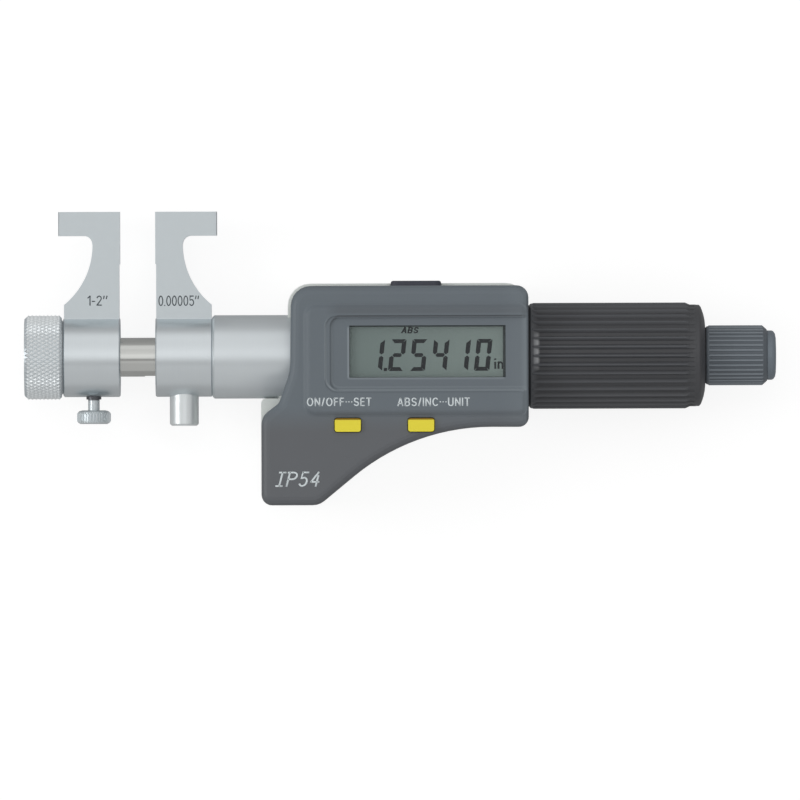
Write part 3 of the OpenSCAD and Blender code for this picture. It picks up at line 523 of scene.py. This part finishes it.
# %% [markdown]
# ## Edges of the cover
# The display lies in a stepped recess that runs out at the cover's right end. The edges of such a
# moulding are rounded: towards the light they shine as thin lines, and under the upper rim they
# lie in shade. The steps are in the mesh, but a rounding of a tenth of a millimetre is less than a
# pixel wide and would come out patchy, so the lines are painted highlights and painted shade in
# the colour. Each follows a rounded rectangle: the finish measures the distance from it and draws
# a soft stripe where that is near nothing. A band of painted shade lies above the recess, and a
# painted highlight towards the cover's right end.


# %% Measure the distance from a rounded rectangle
SOFT_END = 0.12


class CoverFinish(Finish):
    """The cover's plastic, which paints highlights and shade along the rounded edges of its sunk
    panels.
    """

    def beside(self, low, high, radius):
        """The distance in metres from a rounded rectangle between two corners in mm."""
        out = []
        for axis, first, last in zip("XY", low, high):
            half = (last - first) / 2 - radius
            from_middle = (self.along(axis) - (first + last) / 2 * MM).size()
            out.append((from_middle - half * MM).most(0.0))
        return (out[0] * out[0] + out[1] * out[1]).power(0.5) - radius * MM

    def stripe(self, outline, first, last):
        """1 where the distance from an outline lies between two values in mm."""
        distance = self.beside(*outline)
        return distance.rise(first - SOFT_END, first) * distance.fall(last, last + SOFT_END)


PAST_THE_END = 40
RECESS = ((-16.65, -6.7), (PAST_THE_END, 8.55), 2.5)
STEP = ((-15.5, -6.25), (PAST_THE_END, 8.1), 1.7)
WINDOW = ((-11.9, -4.25), (19.3, 6.15), 0.1)
print("outlines on the cover:", len((RECESS, STEP, WINDOW)))

# %% Colour the cover
COVER_DARK, COVER_LIGHT = srgb(101, 104, 108), srgb(107, 116, 123)
EDGE_LIGHT, UNDER_RIM_SHADE, SHADOW = srgb(140, 149, 155), srgb(80, 86, 91), srgb(97, 104, 110)
STRAYS = 0.03

cover = CoverFinish("grey_plastic")
x, y = cover.along("X"), cover.along("Y")
patches = cover.noise(5.0, detail=3.0)
sparks = cover.noise(0.25)
lobe = cover.mottled(COVER_DARK, patches, STRAYS)
upper = cover.mottled(COVER_LIGHT, patches, STRAYS)
tint = cover.blend(y.rise(-15, -10), lobe, upper)
print("cover nodes for its colour:", len(cover.tree.nodes))

# %% Paint light and shade on the edges of the cover
shade_above_recess = y.rise(8.2, 8.8) * y.fall(9.4, 11) * x.rise(-17, -14)
on_top = x.fall(23.3, 23.6)
low_side = y.fall(5.5, 8) * on_top
high_side = y.rise(5.5, 8) * on_top
right_end_highlight = (x.rise(18, 23) * 0.14 + x.rise(22.2, 23.2) * 0.26) * on_top
recess_line = cover.stripe(RECESS, -0.1, 0.18)
step_line = cover.stripe(STEP, -0.2, 0.05)
window_side = 1 - y.rise(5.6, 6).most(x.rise(18.8, 19.2))
window_level = y.rise(-4.6, -4) * 0.45 + 0.35
window_line = cover.stripe(WINDOW, 0.02, 0.35) * window_side

# Painted shade above the recess and under the upper rim; painted highlights along the lower edges
# of the recess and its step, round the display's opening and towards the right end.
for share, colour in [
    (shade_above_recess * 0.9, SHADOW),
    (recess_line * low_side * 0.7, EDGE_LIGHT),
    (step_line * high_side * 0.85, UNDER_RIM_SHADE),
    (right_end_highlight, EDGE_LIGHT),
    (step_line * low_side * 0.28, EDGE_LIGHT),
    (window_line * window_level, EDGE_LIGHT),
]:
    tint = cover.blend(share, tint, colour)
cover_grey = cover.close(tint, patches * 0.08 + 0.46, 0.0, sparks, 0.006)
print("cover finish nodes:", len(cover.tree.nodes))

# %% Mix the plastics
PLAIN_PLASTICS = {
    # name: colour, roughness, metallic, mottle, grain, height
    "black_rubber": (srgb(38, 38, 40), 0.8, 0.0, (2, 0.06), 0.2, 0.01),
    "elastomer": (srgb(215, 130, 150), 0.7, 0.0, (1, 0.05), 0.1, 0.005),
    "board": (srgb(30, 90, 55), 0.45, 0.0, (3, 0.08), 0.3, 0.004),
    "switch_black": (srgb(36, 36, 38), 0.5, 0.0, (1, 0.05), 0.15, 0.004),
    "port_navy": (srgb(75, 77, 88), 0.6, 0.0, (2, 0.06), 0.2, 0.008),
    "cap_grey": (srgb(84, 88, 92), 0.5, 0.0, (3, 0.04), 0.25, 0.008),
}
PANE = (srgb(235, 240, 238), 0.12, 0.0, (5, 0.01), 0.5, 0.0005)
YELLOW, YELLOW_PAINTED_SHADE = srgb(248, 232, 58), srgb(150, 116, 24)
PANEL_LEFT, PANEL_RIGHT = srgb(110, 126, 123), srgb(124, 139, 135)
# A painted glint where the thimble's grooves run out.
THIMBLE_PAINTED_GLINT = (24.8, 25.7, srgb(168, 170, 172))

plastics = {name: surface(name, *recipe) for name, recipe in PLAIN_PLASTICS.items()}
plastics["grey_plastic"] = cover_grey
plastics["clear_window"] = surface("clear_window", *PANE, more={"Alpha": 0.02})
# The darker upper edge of each button is painted shade.
plastics["button_yellow"] = two_tone(
    "button_yellow", "Y", (-12.75, -12.6), YELLOW, YELLOW_PAINTED_SHADE, 0.45, 0.15, 0.004
)
plastics["lcd_glass"] = two_tone(
    "lcd_glass", "X", (-8, 20), PANEL_LEFT, PANEL_RIGHT, 0.5, 0.4, 0.001
)
# Painted shade in the grooves and a painted highlight on the ribs of the thimble and the ratchet.
rib_groove_shade, rib_top_highlight = srgb(68, 69, 72), srgb(84, 86, 90)
plastics["thimble_black"] = gripped(
    "thimble_black", rib_groove_shade, rib_top_highlight, (10.1, 10.55), 0.5, 0.0, 0.15, 0.005, THIMBLE_PAINTED_GLINT
)
rib_groove_shade, rib_top_highlight = srgb(96, 103, 110), srgb(134, 142, 149)
plastics["ratchet_grey"] = gripped(
    "ratchet_grey", rib_groove_shade, rib_top_highlight, (5.78, 5.96), 0.48, 0.1, 0.12, 0.003
)
print("plastics:", len(plastics))

# %% Mix the inks
DULL = {"Specular IOR Level": 0.1}
SHINY_INKS = {
    "printed_white": (srgb(226, 234, 237), 0.6, 0.0, (1, 0.03), 0.1, 0.001),
    "etched_grey": (srgb(84, 92, 97), 0.6, 0.3, (0.6, 0.08), 0.08, 0.002),
}
DULL_INKS = {
    "display_dark": (srgb(30, 34, 38), 0.6, 0.0, (2, 0.04), 0.2, 0.001),
    "display_faint": (srgb(44, 49, 52), 0.6, 0.0, (1, 0.04), 0.2, 0.001),
    # The colour of the painted shadow round the display.
    "display_shadow_ink": (srgb(66, 74, 75), 0.6, 0.0, (2, 0.04), 0.2, 0.001),
}
inks = {name: surface(name, *recipe) for name, recipe in SHINY_INKS.items()}
inks |= {name: surface(name, *recipe, more=DULL) for name, recipe in DULL_INKS.items()}
print("inks:", len(inks))

# %% [markdown]
# ## Dress the CAD pieces
# Each CAD node has one finish, which the table below names. A piece keeps its mesh and its place
# and only gets a better material. The table goes by finish and not by piece, so it also shows
# which pieces are finished alike.

# %% Hand out the finishes
FINISHES = {**metals, **plastics, **inks}
WORN_BY = {
    "satin_chrome": ["moving_jaw", "fixed_jaw"],
    "knurled_chrome": ["adjusting_wheel"],
    "polished_rod": ["guide_rod"],
    "satin_sleeve": ["sleeve"],
    "plated_screw": ["clamp_screw"],
    "plated_plug": ["key_plug"],
    "silver_casting": ["rear_body"],
    "grey_plastic": ["front_cover"],
    "black_rubber": ["rod_wiper", "cover_gasket", "cap_seal"],
    "clear_window": ["display_window"],
    "lcd_glass": ["lcd_panel"],
    "elastomer": ["lcd_connectors"],
    "board": ["circuit_board", "encoder_stator", "encoder_rotor"],
    "switch_black": ["key_switches", "port_connector"],
    "port_navy": ["port_cover"],
    "button_yellow": ["left_button", "right_button"],
    "battery_can": ["battery"],
    "contact_brass": ["battery_contacts", "rotor_hub", "clutch_disc"],
    "cap_grey": ["battery_cap"],
    "screw_steel": ["cover_screws", "ratchet_screw", "ratchet_spring", "lead_screw"],
    "bush_steel": ["spindle_bush", "retaining_nut"],
    "thimble_black": ["thimble"],
    "ratchet_grey": ["ratchet_knob"],
    "cap_satin": ["ratchet_cap"],
}
for finish, wearers in WORN_BY.items():
    for wearer in wearers:
        for holder in nodes[wearer].material_slots:
            holder.material = FINISHES[finish]
print("dressed:", sum(len(w) for w in WORN_BY.values()), "of", len(nodes))

# %% [markdown]
# ## Modelling by hand, in code
# The pieces below could be written as lists of points, but nobody could follow how they came
# about. They are modelled with the operators of edit mode instead, as by hand. An operator works
# on what is selected, so two small helpers do the selecting: `pick` takes the points or faces
# that pass a test, and `slide` moves them.


# %% Helpers for edit mode
def pick(piece, kind, test):
    """Leaves edit mode with only the points or faces selected that pass the test."""
    bpy.ops.object.mode_set(mode="EDIT")
    bpy.ops.mesh.select_mode(type=kind)
    bpy.ops.mesh.select_all(action="DESELECT")
    bpy.ops.object.mode_set(mode="OBJECT")
    mesh = piece.data
    for item in mesh.vertices if kind == "VERT" else mesh.polygons:
        item.select = test(item)
    bpy.ops.object.mode_set(mode="EDIT")


def slide(piece, test, move):
    """Moves the points whose place passes the test."""
    pick(piece, "VERT", lambda point: test(point.co))
    bpy.ops.transform.translate(value=move)
    bpy.ops.object.mode_set(mode="OBJECT")


def put_away(piece, name, finish, body, slot):
    """Cleans a finished mesh, names it, dresses it and tells it what it moves with."""
    bpy.ops.object.mode_set(mode="EDIT")
    bpy.ops.mesh.select_all(action="SELECT")
    bpy.ops.mesh.remove_doubles(threshold=0.000001)
    bpy.ops.mesh.normals_make_consistent(inside=False)
    bpy.ops.object.mode_set(mode="OBJECT")
    piece.name = name
    piece.data.materials.clear()
    piece.data.materials.append(FINISHES[finish])
    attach(piece, body)
    print(name, "faces:", len(piece.data.polygons))


# %% [markdown]
# ## Figures of the display
# Each figure is made of seven bars that the panel can turn dark. A font would give figures with
# other slopes and gaps, so the bars are modelled. Only three shapes are needed: a rung with
# sloping ends for the top and the bottom, a rung pointed at both ends for the middle, and an
# upright with one sloping and one pointed end. They are modelled once, then turned or mirrored
# into their places, and leant over as the display leans its figures.

# %% Model the three bars
BAR_DEPTH = 0.03
RUNG, RUNG_SLOPE = (2.8, 0.78), 0.624
MIDDLE, MIDDLE_TIP = (1.3, 0.76), 0.26
UPRIGHT, UPRIGHT_TIP, UPRIGHT_SLOPE = (0.88, 1.92), 0.3, 0.68
NARROW = 0.12


def slab(width, height):
    """A thin slab in its own middle, in mm."""
    bpy.ops.object.select_all(action="DESELECT")
    bpy.ops.mesh.primitive_cube_add(size=1)
    piece = bpy.context.object
    piece.data.transform(Matrix.Diagonal((width, height, BAR_DEPTH, 1)))
    return piece


def grow_tip(piece, test, move, narrow):
    """Grows a face outwards into a narrower end."""
    pick(piece, "FACE", test)
    bpy.ops.mesh.extrude_region_move(TRANSFORM_OT_translate={"value": move})
    bpy.ops.transform.resize(value=narrow)
    bpy.ops.object.mode_set(mode="OBJECT")


rung = slab(*RUNG)
slide(rung, lambda p: p.y < 0 and p.x < 0, (RUNG_SLOPE, 0, 0))
slide(rung, lambda p: p.y < 0 and p.x > 0, (-RUNG_SLOPE, 0, 0))

middle = slab(*MIDDLE)
grow_tip(middle, lambda f: f.normal.x > 0.9, (MIDDLE_TIP, 0, 0), (1, NARROW, 1))
grow_tip(middle, lambda f: f.normal.x < -0.9, (-MIDDLE_TIP, 0, 0), (1, NARROW, 1))

upright = slab(*UPRIGHT)
grow_tip(upright, lambda f: f.normal.y < -0.9, (0, -UPRIGHT_TIP, 0), (NARROW, 1, 1))
slide(upright, lambda p: p.y > UPRIGHT[1] / 2 - 0.01 and p.x > 0, (0, UPRIGHT_SLOPE, 0))
print("bars:", [len(bar.data.vertices) for bar in (rung, middle, upright)])

# %% Place the seven bars in a cell
PANEL_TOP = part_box("lcd_panel")[1][2] / MM
CELL = {"width": 3.1, "pitch": 4.287, "left": -8.16, "top": 3.39, "bottom": -2.95}
CENTRE = (CELL["width"] / 2, (CELL["top"] + CELL["bottom"]) / 2)
LEAN = 0.107
TOP_RUNG = (CENTRE[0], CELL["top"] - RUNG[1] / 2)
RIGHT_UPRIGHT = (CELL["width"] - UPRIGHT[0] / 2, CENTRE[1] + 1.42)
half_turn = Matrix.Rotation(math.pi, 4, "Z")
over_x = Matrix.Diagonal((-1, 1, 1, 1))
over_y = Matrix.Diagonal((1, -1, 1, 1))
BARS = {
    "a": (rung, TOP_RUNG, Matrix()),
    "b": (upright, RIGHT_UPRIGHT, Matrix()),
    "c": (upright, RIGHT_UPRIGHT, over_y),
    "d": (rung, TOP_RUNG, half_turn),
    "e": (upright, RIGHT_UPRIGHT, half_turn),
    "f": (upright, RIGHT_UPRIGHT, over_x),
    "g": (middle, CENTRE, Matrix()),
}
from_centre = Matrix.Translation((-CENTRE[0], -CENTRE[1], 0))
lean = Matrix(((1, LEAN, 0, 0), (0, 1, 0, 0), (0, 0, 1, 0), (0, 0, 0, 1)))
print("bars in a cell:", "".join(BARS))


# %% Light the bars of each figure
LIT = ["bc", "abged", "afgcd", "fgbc", "bc", "abcdef"]
POINT = 0.66
POINT_AT = (-4.72, -2.63)


def joined(pieces):
    """Joins pieces into the last of them."""
    bpy.ops.object.select_all(action="DESELECT")
    for piece in pieces:
        piece.select_set(True)
    bpy.context.view_layer.objects.active = pieces[-1]
    bpy.ops.object.join()
    return bpy.context.object


def own_copy(piece, placed):
    """A copy with its own mesh, which holds its place."""
    copy = piece.copy()
    copy.data = piece.data.copy()
    bpy.context.collection.objects.link(copy)
    copy.data.transform(placed)
    return copy


bars = []
for count, lit in enumerate(LIT):
    cell_x = CELL["left"] + CENTRE[0] + count * CELL["pitch"]
    cell = Matrix.Translation((cell_x, CENTRE[1], PANEL_TOP))
    for letter in lit:
        bar, spot, flip = BARS[letter]
        in_cell = flip @ from_centre @ Matrix.Translation((*spot, 0))
        bars.append(own_copy(bar, Matrix.Scale(MM, 4) @ cell @ lean @ in_cell))
point = slab(POINT, POINT)
slide(point, lambda p: p.y > 0, (0.07, 0, 0))
point.data.transform(Matrix.Scale(MM, 4) @ Matrix.Translation((*POINT_AT, PANEL_TOP)))
figures = joined(bars + [point])
for bar in (rung, middle, upright):
    bpy.data.objects.remove(bar)
put_away(figures, "display_figures", "display_dark", "housing", "lcd_glass")

# %% [markdown]
# ## Edge of the display
# Behind the pane the panel ends in a dark line, wide on the right, where the glass stands in the
# shadow of its frame. The line is a painted shadow: a thin dark plate. A Boolean could cut its
# middle out, but an inset of its two faces and a bridge between them leave cleaner edges, and the
# right and the upper inner edge can then be pulled inwards.

# %% Frame the panel with a painted shadow
LIP = 1
EDGE, RIGHT_WIDER, TOP_WIDER = 0.08, 0.46, 0.2
low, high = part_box("lcd_panel")
left, right = low[0] / MM + LIP, high[0] / MM - LIP
bottom, top = low[1] / MM + LIP, high[1] / MM - LIP
# This dark plate is a painted shadow round the panel.
shadow_plate = slab(right - left, top - bottom)
pick(shadow_plate, "FACE", lambda f: abs(f.normal.z) > 0.9)
bpy.ops.mesh.inset(thickness=EDGE, use_individual=True)
bpy.ops.mesh.bridge_edge_loops()
bpy.ops.object.mode_set(mode="OBJECT")
reach_x = (right - left) / 2 - EDGE - 0.01
reach_y = (top - bottom) / 2 - EDGE - 0.01
slide(shadow_plate, lambda p: reach_x < p.x < reach_x + 0.05, (-RIGHT_WIDER, 0, 0))
slide(shadow_plate, lambda p: reach_y < p.y < reach_y + 0.05, (0, -TOP_WIDER, 0))
middle_of = Matrix.Translation(((left + right) / 2, (bottom + top) / 2, PANEL_TOP + BAR_DEPTH))
shadow_plate.data.transform(Matrix.Scale(MM, 4) @ middle_of)
put_away(shadow_plate, "display_painted_shadow", "display_shadow_ink", "housing", "lcd_glass")

# %% [markdown]
# ## Washers in the running gaps
# The thimble turns a hair's breadth away from the housing, and the ratchet the same from the
# thimble. A thin dark washer lies in each gap as painted shade: it stands in for the shadow in the
# gap, so that no light shines through. A torus would be round in section, and a washer is flat, so
# it begins as a cylinder: both of its ends are inset, and a bridge between the insets opens the
# hole.


# %% Close the two gaps with painted shade
WASHER_DEPTH = 0.14
THIMBLE_RADII, RATCHET_RADII = (10.15, 9.3), (5.6, 3.6)


def washer(name, x, outer, inner):
    """A thin dark ring round the spindle that stands in for the shade in a gap, in mm, whose
    middle lies at x.
    """
    bpy.ops.object.select_all(action="DESELECT")
    bpy.ops.mesh.primitive_cylinder_add(vertices=64, radius=outer, depth=WASHER_DEPTH)
    piece = bpy.context.object
    pick(piece, "FACE", lambda f: abs(f.normal.z) > 0.9)
    bpy.ops.mesh.inset(thickness=outer - inner, use_individual=True)
    bpy.ops.mesh.bridge_edge_loops()
    bpy.ops.object.mode_set(mode="OBJECT")
    on_axis = Matrix.Translation((x, 0, SPINDLE_HEIGHT))
    turned = Matrix.Rotation(math.pi / 2, 4, "Y")
    piece.data.transform(Matrix.Scale(MM, 4) @ on_axis @ turned)
    put_away(piece, name, "black_rubber", "thimble_set", "black_rubber")


def gap_between(left_node, right_node):
    """The middle of the gap along X between two nodes, in mm."""
    return (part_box(left_node)[1][0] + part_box(right_node)[0][0]) / (2 * MM)


# Each washer is painted shade that fills its gap.
washer("thimble_gap_shade", gap_between("front_cover", "thimble"), *THIMBLE_RADII)
washer("ratchet_gap_shade", gap_between("thimble", "ratchet_knob"), *RATCHET_RADII)

# %% [markdown]
# ## Words and numbers
# The cover carries printed words over its two buttons, and the blades carry the range and the
# smallest step in thin etched figures. A font swells and thins its strokes, and these have one
# width, like the strokes of an engraver, so they are drawn. A letter is a width and a list of
# lines in a cell one unit high. "J" stands for the I with feet that the seal class begins with.
# A curve gives the lines a round section, and the finished mesh is stretched to the box that the
# words fill on the instrument and pressed almost flat.


# %% Draw the letters
def arc(centre, radii, first, last, count=12):
    """Points along part of an ellipse, between two angles in degrees."""
    turns = [math.radians(first + (last - first) * i / count) for i in range(count + 1)]
    (x, y), (wide, high) = centre, radii
    return [(x + wide * math.cos(t), y + high * math.sin(t)) for t in turns]


def upright_ring(width):
    """A closed ring as high as the cell."""
    return arc((width / 2, 0.5), (width / 2, 0.5), 90, 450, 24)


BOWL = arc((0.24, 0.75), (0.22, 0.25), 90, -90)
LOWER_BOWL = arc((0.24, 0.25), (0.24, 0.25), 90, -90)
WIDE_BOWL = arc((0.26, 0.75), (0.26, 0.25), 90, -90)
UPPER_HOOK = arc((0.23, 0.75), (0.22, 0.25), 25, 260)
LOWER_HOOK = arc((0.23, 0.25), (0.23, 0.25), 80, -155)
FIVE_BOWL = arc((0.22, 0.31), (0.24, 0.31), 120, -145)
SMALL_ARCH = arc((0.2, 0.42), (0.2, 0.24), 180, 0)
LETTERS = {
    "O": (0.6, [upright_ring(0.6)]),
    "N": (0.5, [[(0, 0), (0, 1)], [(0.5, 0), (0.5, 1)], [(0.03, 0.94), (0.47, 0.06)]]),
    "/": (0.24, [[(0, 0), (0.24, 1)]]),
    "F": (0.38, [[(0, 0), (0, 1)], [(0, 1), (0.36, 1)], [(0, 0.52), (0.33, 0.52)]]),
    "·": (0.02, [[(0, 0.5), (0.02, 0.5)]]),
    "S": (0.46, [UPPER_HOOK + LOWER_HOOK]),
    "E": (0.38, [
        [(0, 0), (0, 1)],
        [(0, 1), (0.38, 1)],
        [(0, 0.52), (0.34, 0.52)],
        [(0, 0), (0.38, 0)],
    ]),
    "T": (0.48, [[(0.24, 0), (0.24, 1)], [(0, 1), (0.48, 1)]]),
    "A": (0.54, [[(0, 0), (0.26, 1)], [(0.28, 1), (0.54, 0)], [(0.12, 0.3), (0.42, 0.3)]]),
    "B": (0.48, [
        [(0, 0), (0, 1)],
        [(0, 1), *BOWL, (0, 0.5)],
        [(0.24, 0.5), *LOWER_BOWL, (0, 0)],
    ]),
    "I": (0.0, [[(0, 0), (0, 1)]]),
    "C": (0.54, [arc((0.29, 0.5), (0.29, 0.5), 45, 315, 18)]),
    "U": (0.5, [[(0, 1), *arc((0.25, 0.26), (0.25, 0.26), 180, 360), (0.5, 1)]]),
    "J": (0.4, [[(0.2, 0), (0.2, 1)], [(0, 1), (0.4, 1)], [(0, 0), (0.38, 0)]]),
    "P": (0.52, [[(0, 0), (0, 1)], [(-0.1, 1), *WIDE_BOWL, (0, 0.5)]]),
    "0": (0.44, [upright_ring(0.44)]),
    "1": (0.26, [[(0.26, 0), (0.26, 1)], [(0.26, 1), (0.04, 0.8)]]),
    "2": (0.46, [[*arc((0.23, 0.74), (0.22, 0.26), 165, -28), (0.02, 0.02)], [(0, 0), (0.46, 0)]]),
    "4": (0.5, [[(0.38, 0), (0.38, 0.75)], [(0.34, 1), (0, 0.3)], [(0, 0.3), (0.5, 0.3)]]),
    "5": (0.46, [[(0.06, 1), (0.42, 1)], [(0.06, 1), (0.03, 0.56), *FIVE_BOWL]]),
    "-": (0.26, [[(0, 0.42), (0.26, 0.42)]]),
    ".": (0.02, [[(0, 0), (0.02, 0)]]),
    "'": (0.06, [[(0, 0.72), (0.06, 1)]]),
    "i": (0.0, [[(0, 0), (0, 0.62)], [(0, 0.98), (0, 1)]]),
    "n": (0.4, [[(0, 0), (0, 0.66)], [(0, 0.4), *SMALL_ARCH, (0.4, 0)]]),
}
print("letters drawn:", len(LETTERS))


# %% A helper for lettering
INK_DEPTH = 0.04


def drawn_out(stroke, by):
    """The stroke with longer ends, so that strokes meet in full corners."""
    points = [Vector(p) for p in stroke]
    first = points[0] + (points[0] - points[1]).normalized() * by
    last = points[-1] + (points[-1] - points[-2]).normalized() * by
    return [first, *points[1:-1], last]


def lettering(name, words, box, height, worn, weight, gap=0.32, lean=0.0):
    """Words that fill a box, left, right, bottom and top in mm; weight is the stroke's width.

    What the words wear is their finish, the body that they ride and their slot, which is not used.
    """
    bpy.ops.object.select_all(action="DESELECT")
    bpy.ops.curve.primitive_bezier_curve_add()
    curve = bpy.context.object.data
    curve.splines.clear()
    start = 0
    for letter in words:
        width, strokes = LETTERS[letter]
        for stroke in strokes:
            points = drawn_out(stroke, weight * 0.4)
            line = curve.splines.new("POLY")
            line.points.add(len(points) - 1)
            for knot, (x, y) in zip(line.points, points):
                knot.co = (start + x + lean * y, y, 0, 1)
        start += width + gap
    curve.bevel_depth = weight / 2
    curve.bevel_resolution = 1
    curve.use_fill_caps = True
    bpy.ops.object.convert(target="MESH")
    piece = bpy.context.object
    xs = [p.co.x for p in piece.data.vertices]
    ys = [p.co.y for p in piece.data.vertices]
    left, right, bottom, top = box
    wider, higher = (right - left) / (max(xs) - min(xs)), (top - bottom) / (max(ys) - min(ys))
    to_corner = Matrix.Translation((-min(xs), -min(ys), 0))
    flat = Matrix.Diagonal((wider, higher, INK_DEPTH / weight, 1))
    into_box = Matrix.Translation((left, bottom, height))
    piece.data.transform(Matrix.Scale(MM, 4) @ into_box @ flat @ to_corner)
    put_away(piece, name, *worn)


# %% Print the cover
COVER_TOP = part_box("front_cover")[1][2] / MM
LOBE_DROP = 0.7
ON_OFF_BOX = (-20.4, -7.5, -9.94, -8.2)
ABS_INC_BOX = (-2.37, 12.15, -10.0, -8.26)
SEAL_BOX = (-26.73, -17.82, -26.02, -22.91)
on_cover = ("printed_white", "housing", "grey_plastic")
lobe_top = COVER_TOP - LOBE_DROP
lettering("words_on_off", "ON/OFF···SET", ON_OFF_BOX, COVER_TOP, on_cover, 0.17, 0.3)
lettering("words_abs_inc", "ABS/INC···UNIT", ABS_INC_BOX, COVER_TOP, on_cover, 0.17, 0.3)
lettering("seal_class", "JP54", SEAL_BOX, lobe_top, on_cover, 0.135, 0.3, 0.24)

# %% Light the small words of the display
WORDS_TOP = PANEL_TOP + 0.01
UNIT_BOX = (17.04, 18.87, -2.58, -0.51)
MODE_BOX = (-1.59, 2.0, 4.53, 5.87)
on_panel = ("display_faint", "housing", "lcd_glass")
lettering("unit_in", "in", UNIT_BOX, WORDS_TOP, on_panel, 0.19)
lettering("mode_abs", "ABS", MODE_BOX, WORDS_TOP, on_panel, 0.24, 0.34, 0.18)

# %% Etch the blades
BLADE_TOP = SPINDLE_HEIGHT + 2.1
RANGE_BOX = (-64.35, -60.25, 10.34, 12.39)
STEP_BOX = (-50.1, -41.95, 10.22, 12.33)
on_left = ("etched_grey", "jaw_slide", "satin_chrome")
on_right = ("etched_grey", "housing", "satin_chrome")
lettering("range_marks", "1-2''", RANGE_BOX, BLADE_TOP, on_left, 0.125, 0.24)
lettering("step_marks", "0.00005''", STEP_BOX, BLADE_TOP, on_right, 0.125, 0.22)

# %% [markdown]
# ## Close
# The colours are shown as they are written.

# %% Set the view
bpy.context.scene.view_settings.view_transform = "Standard"
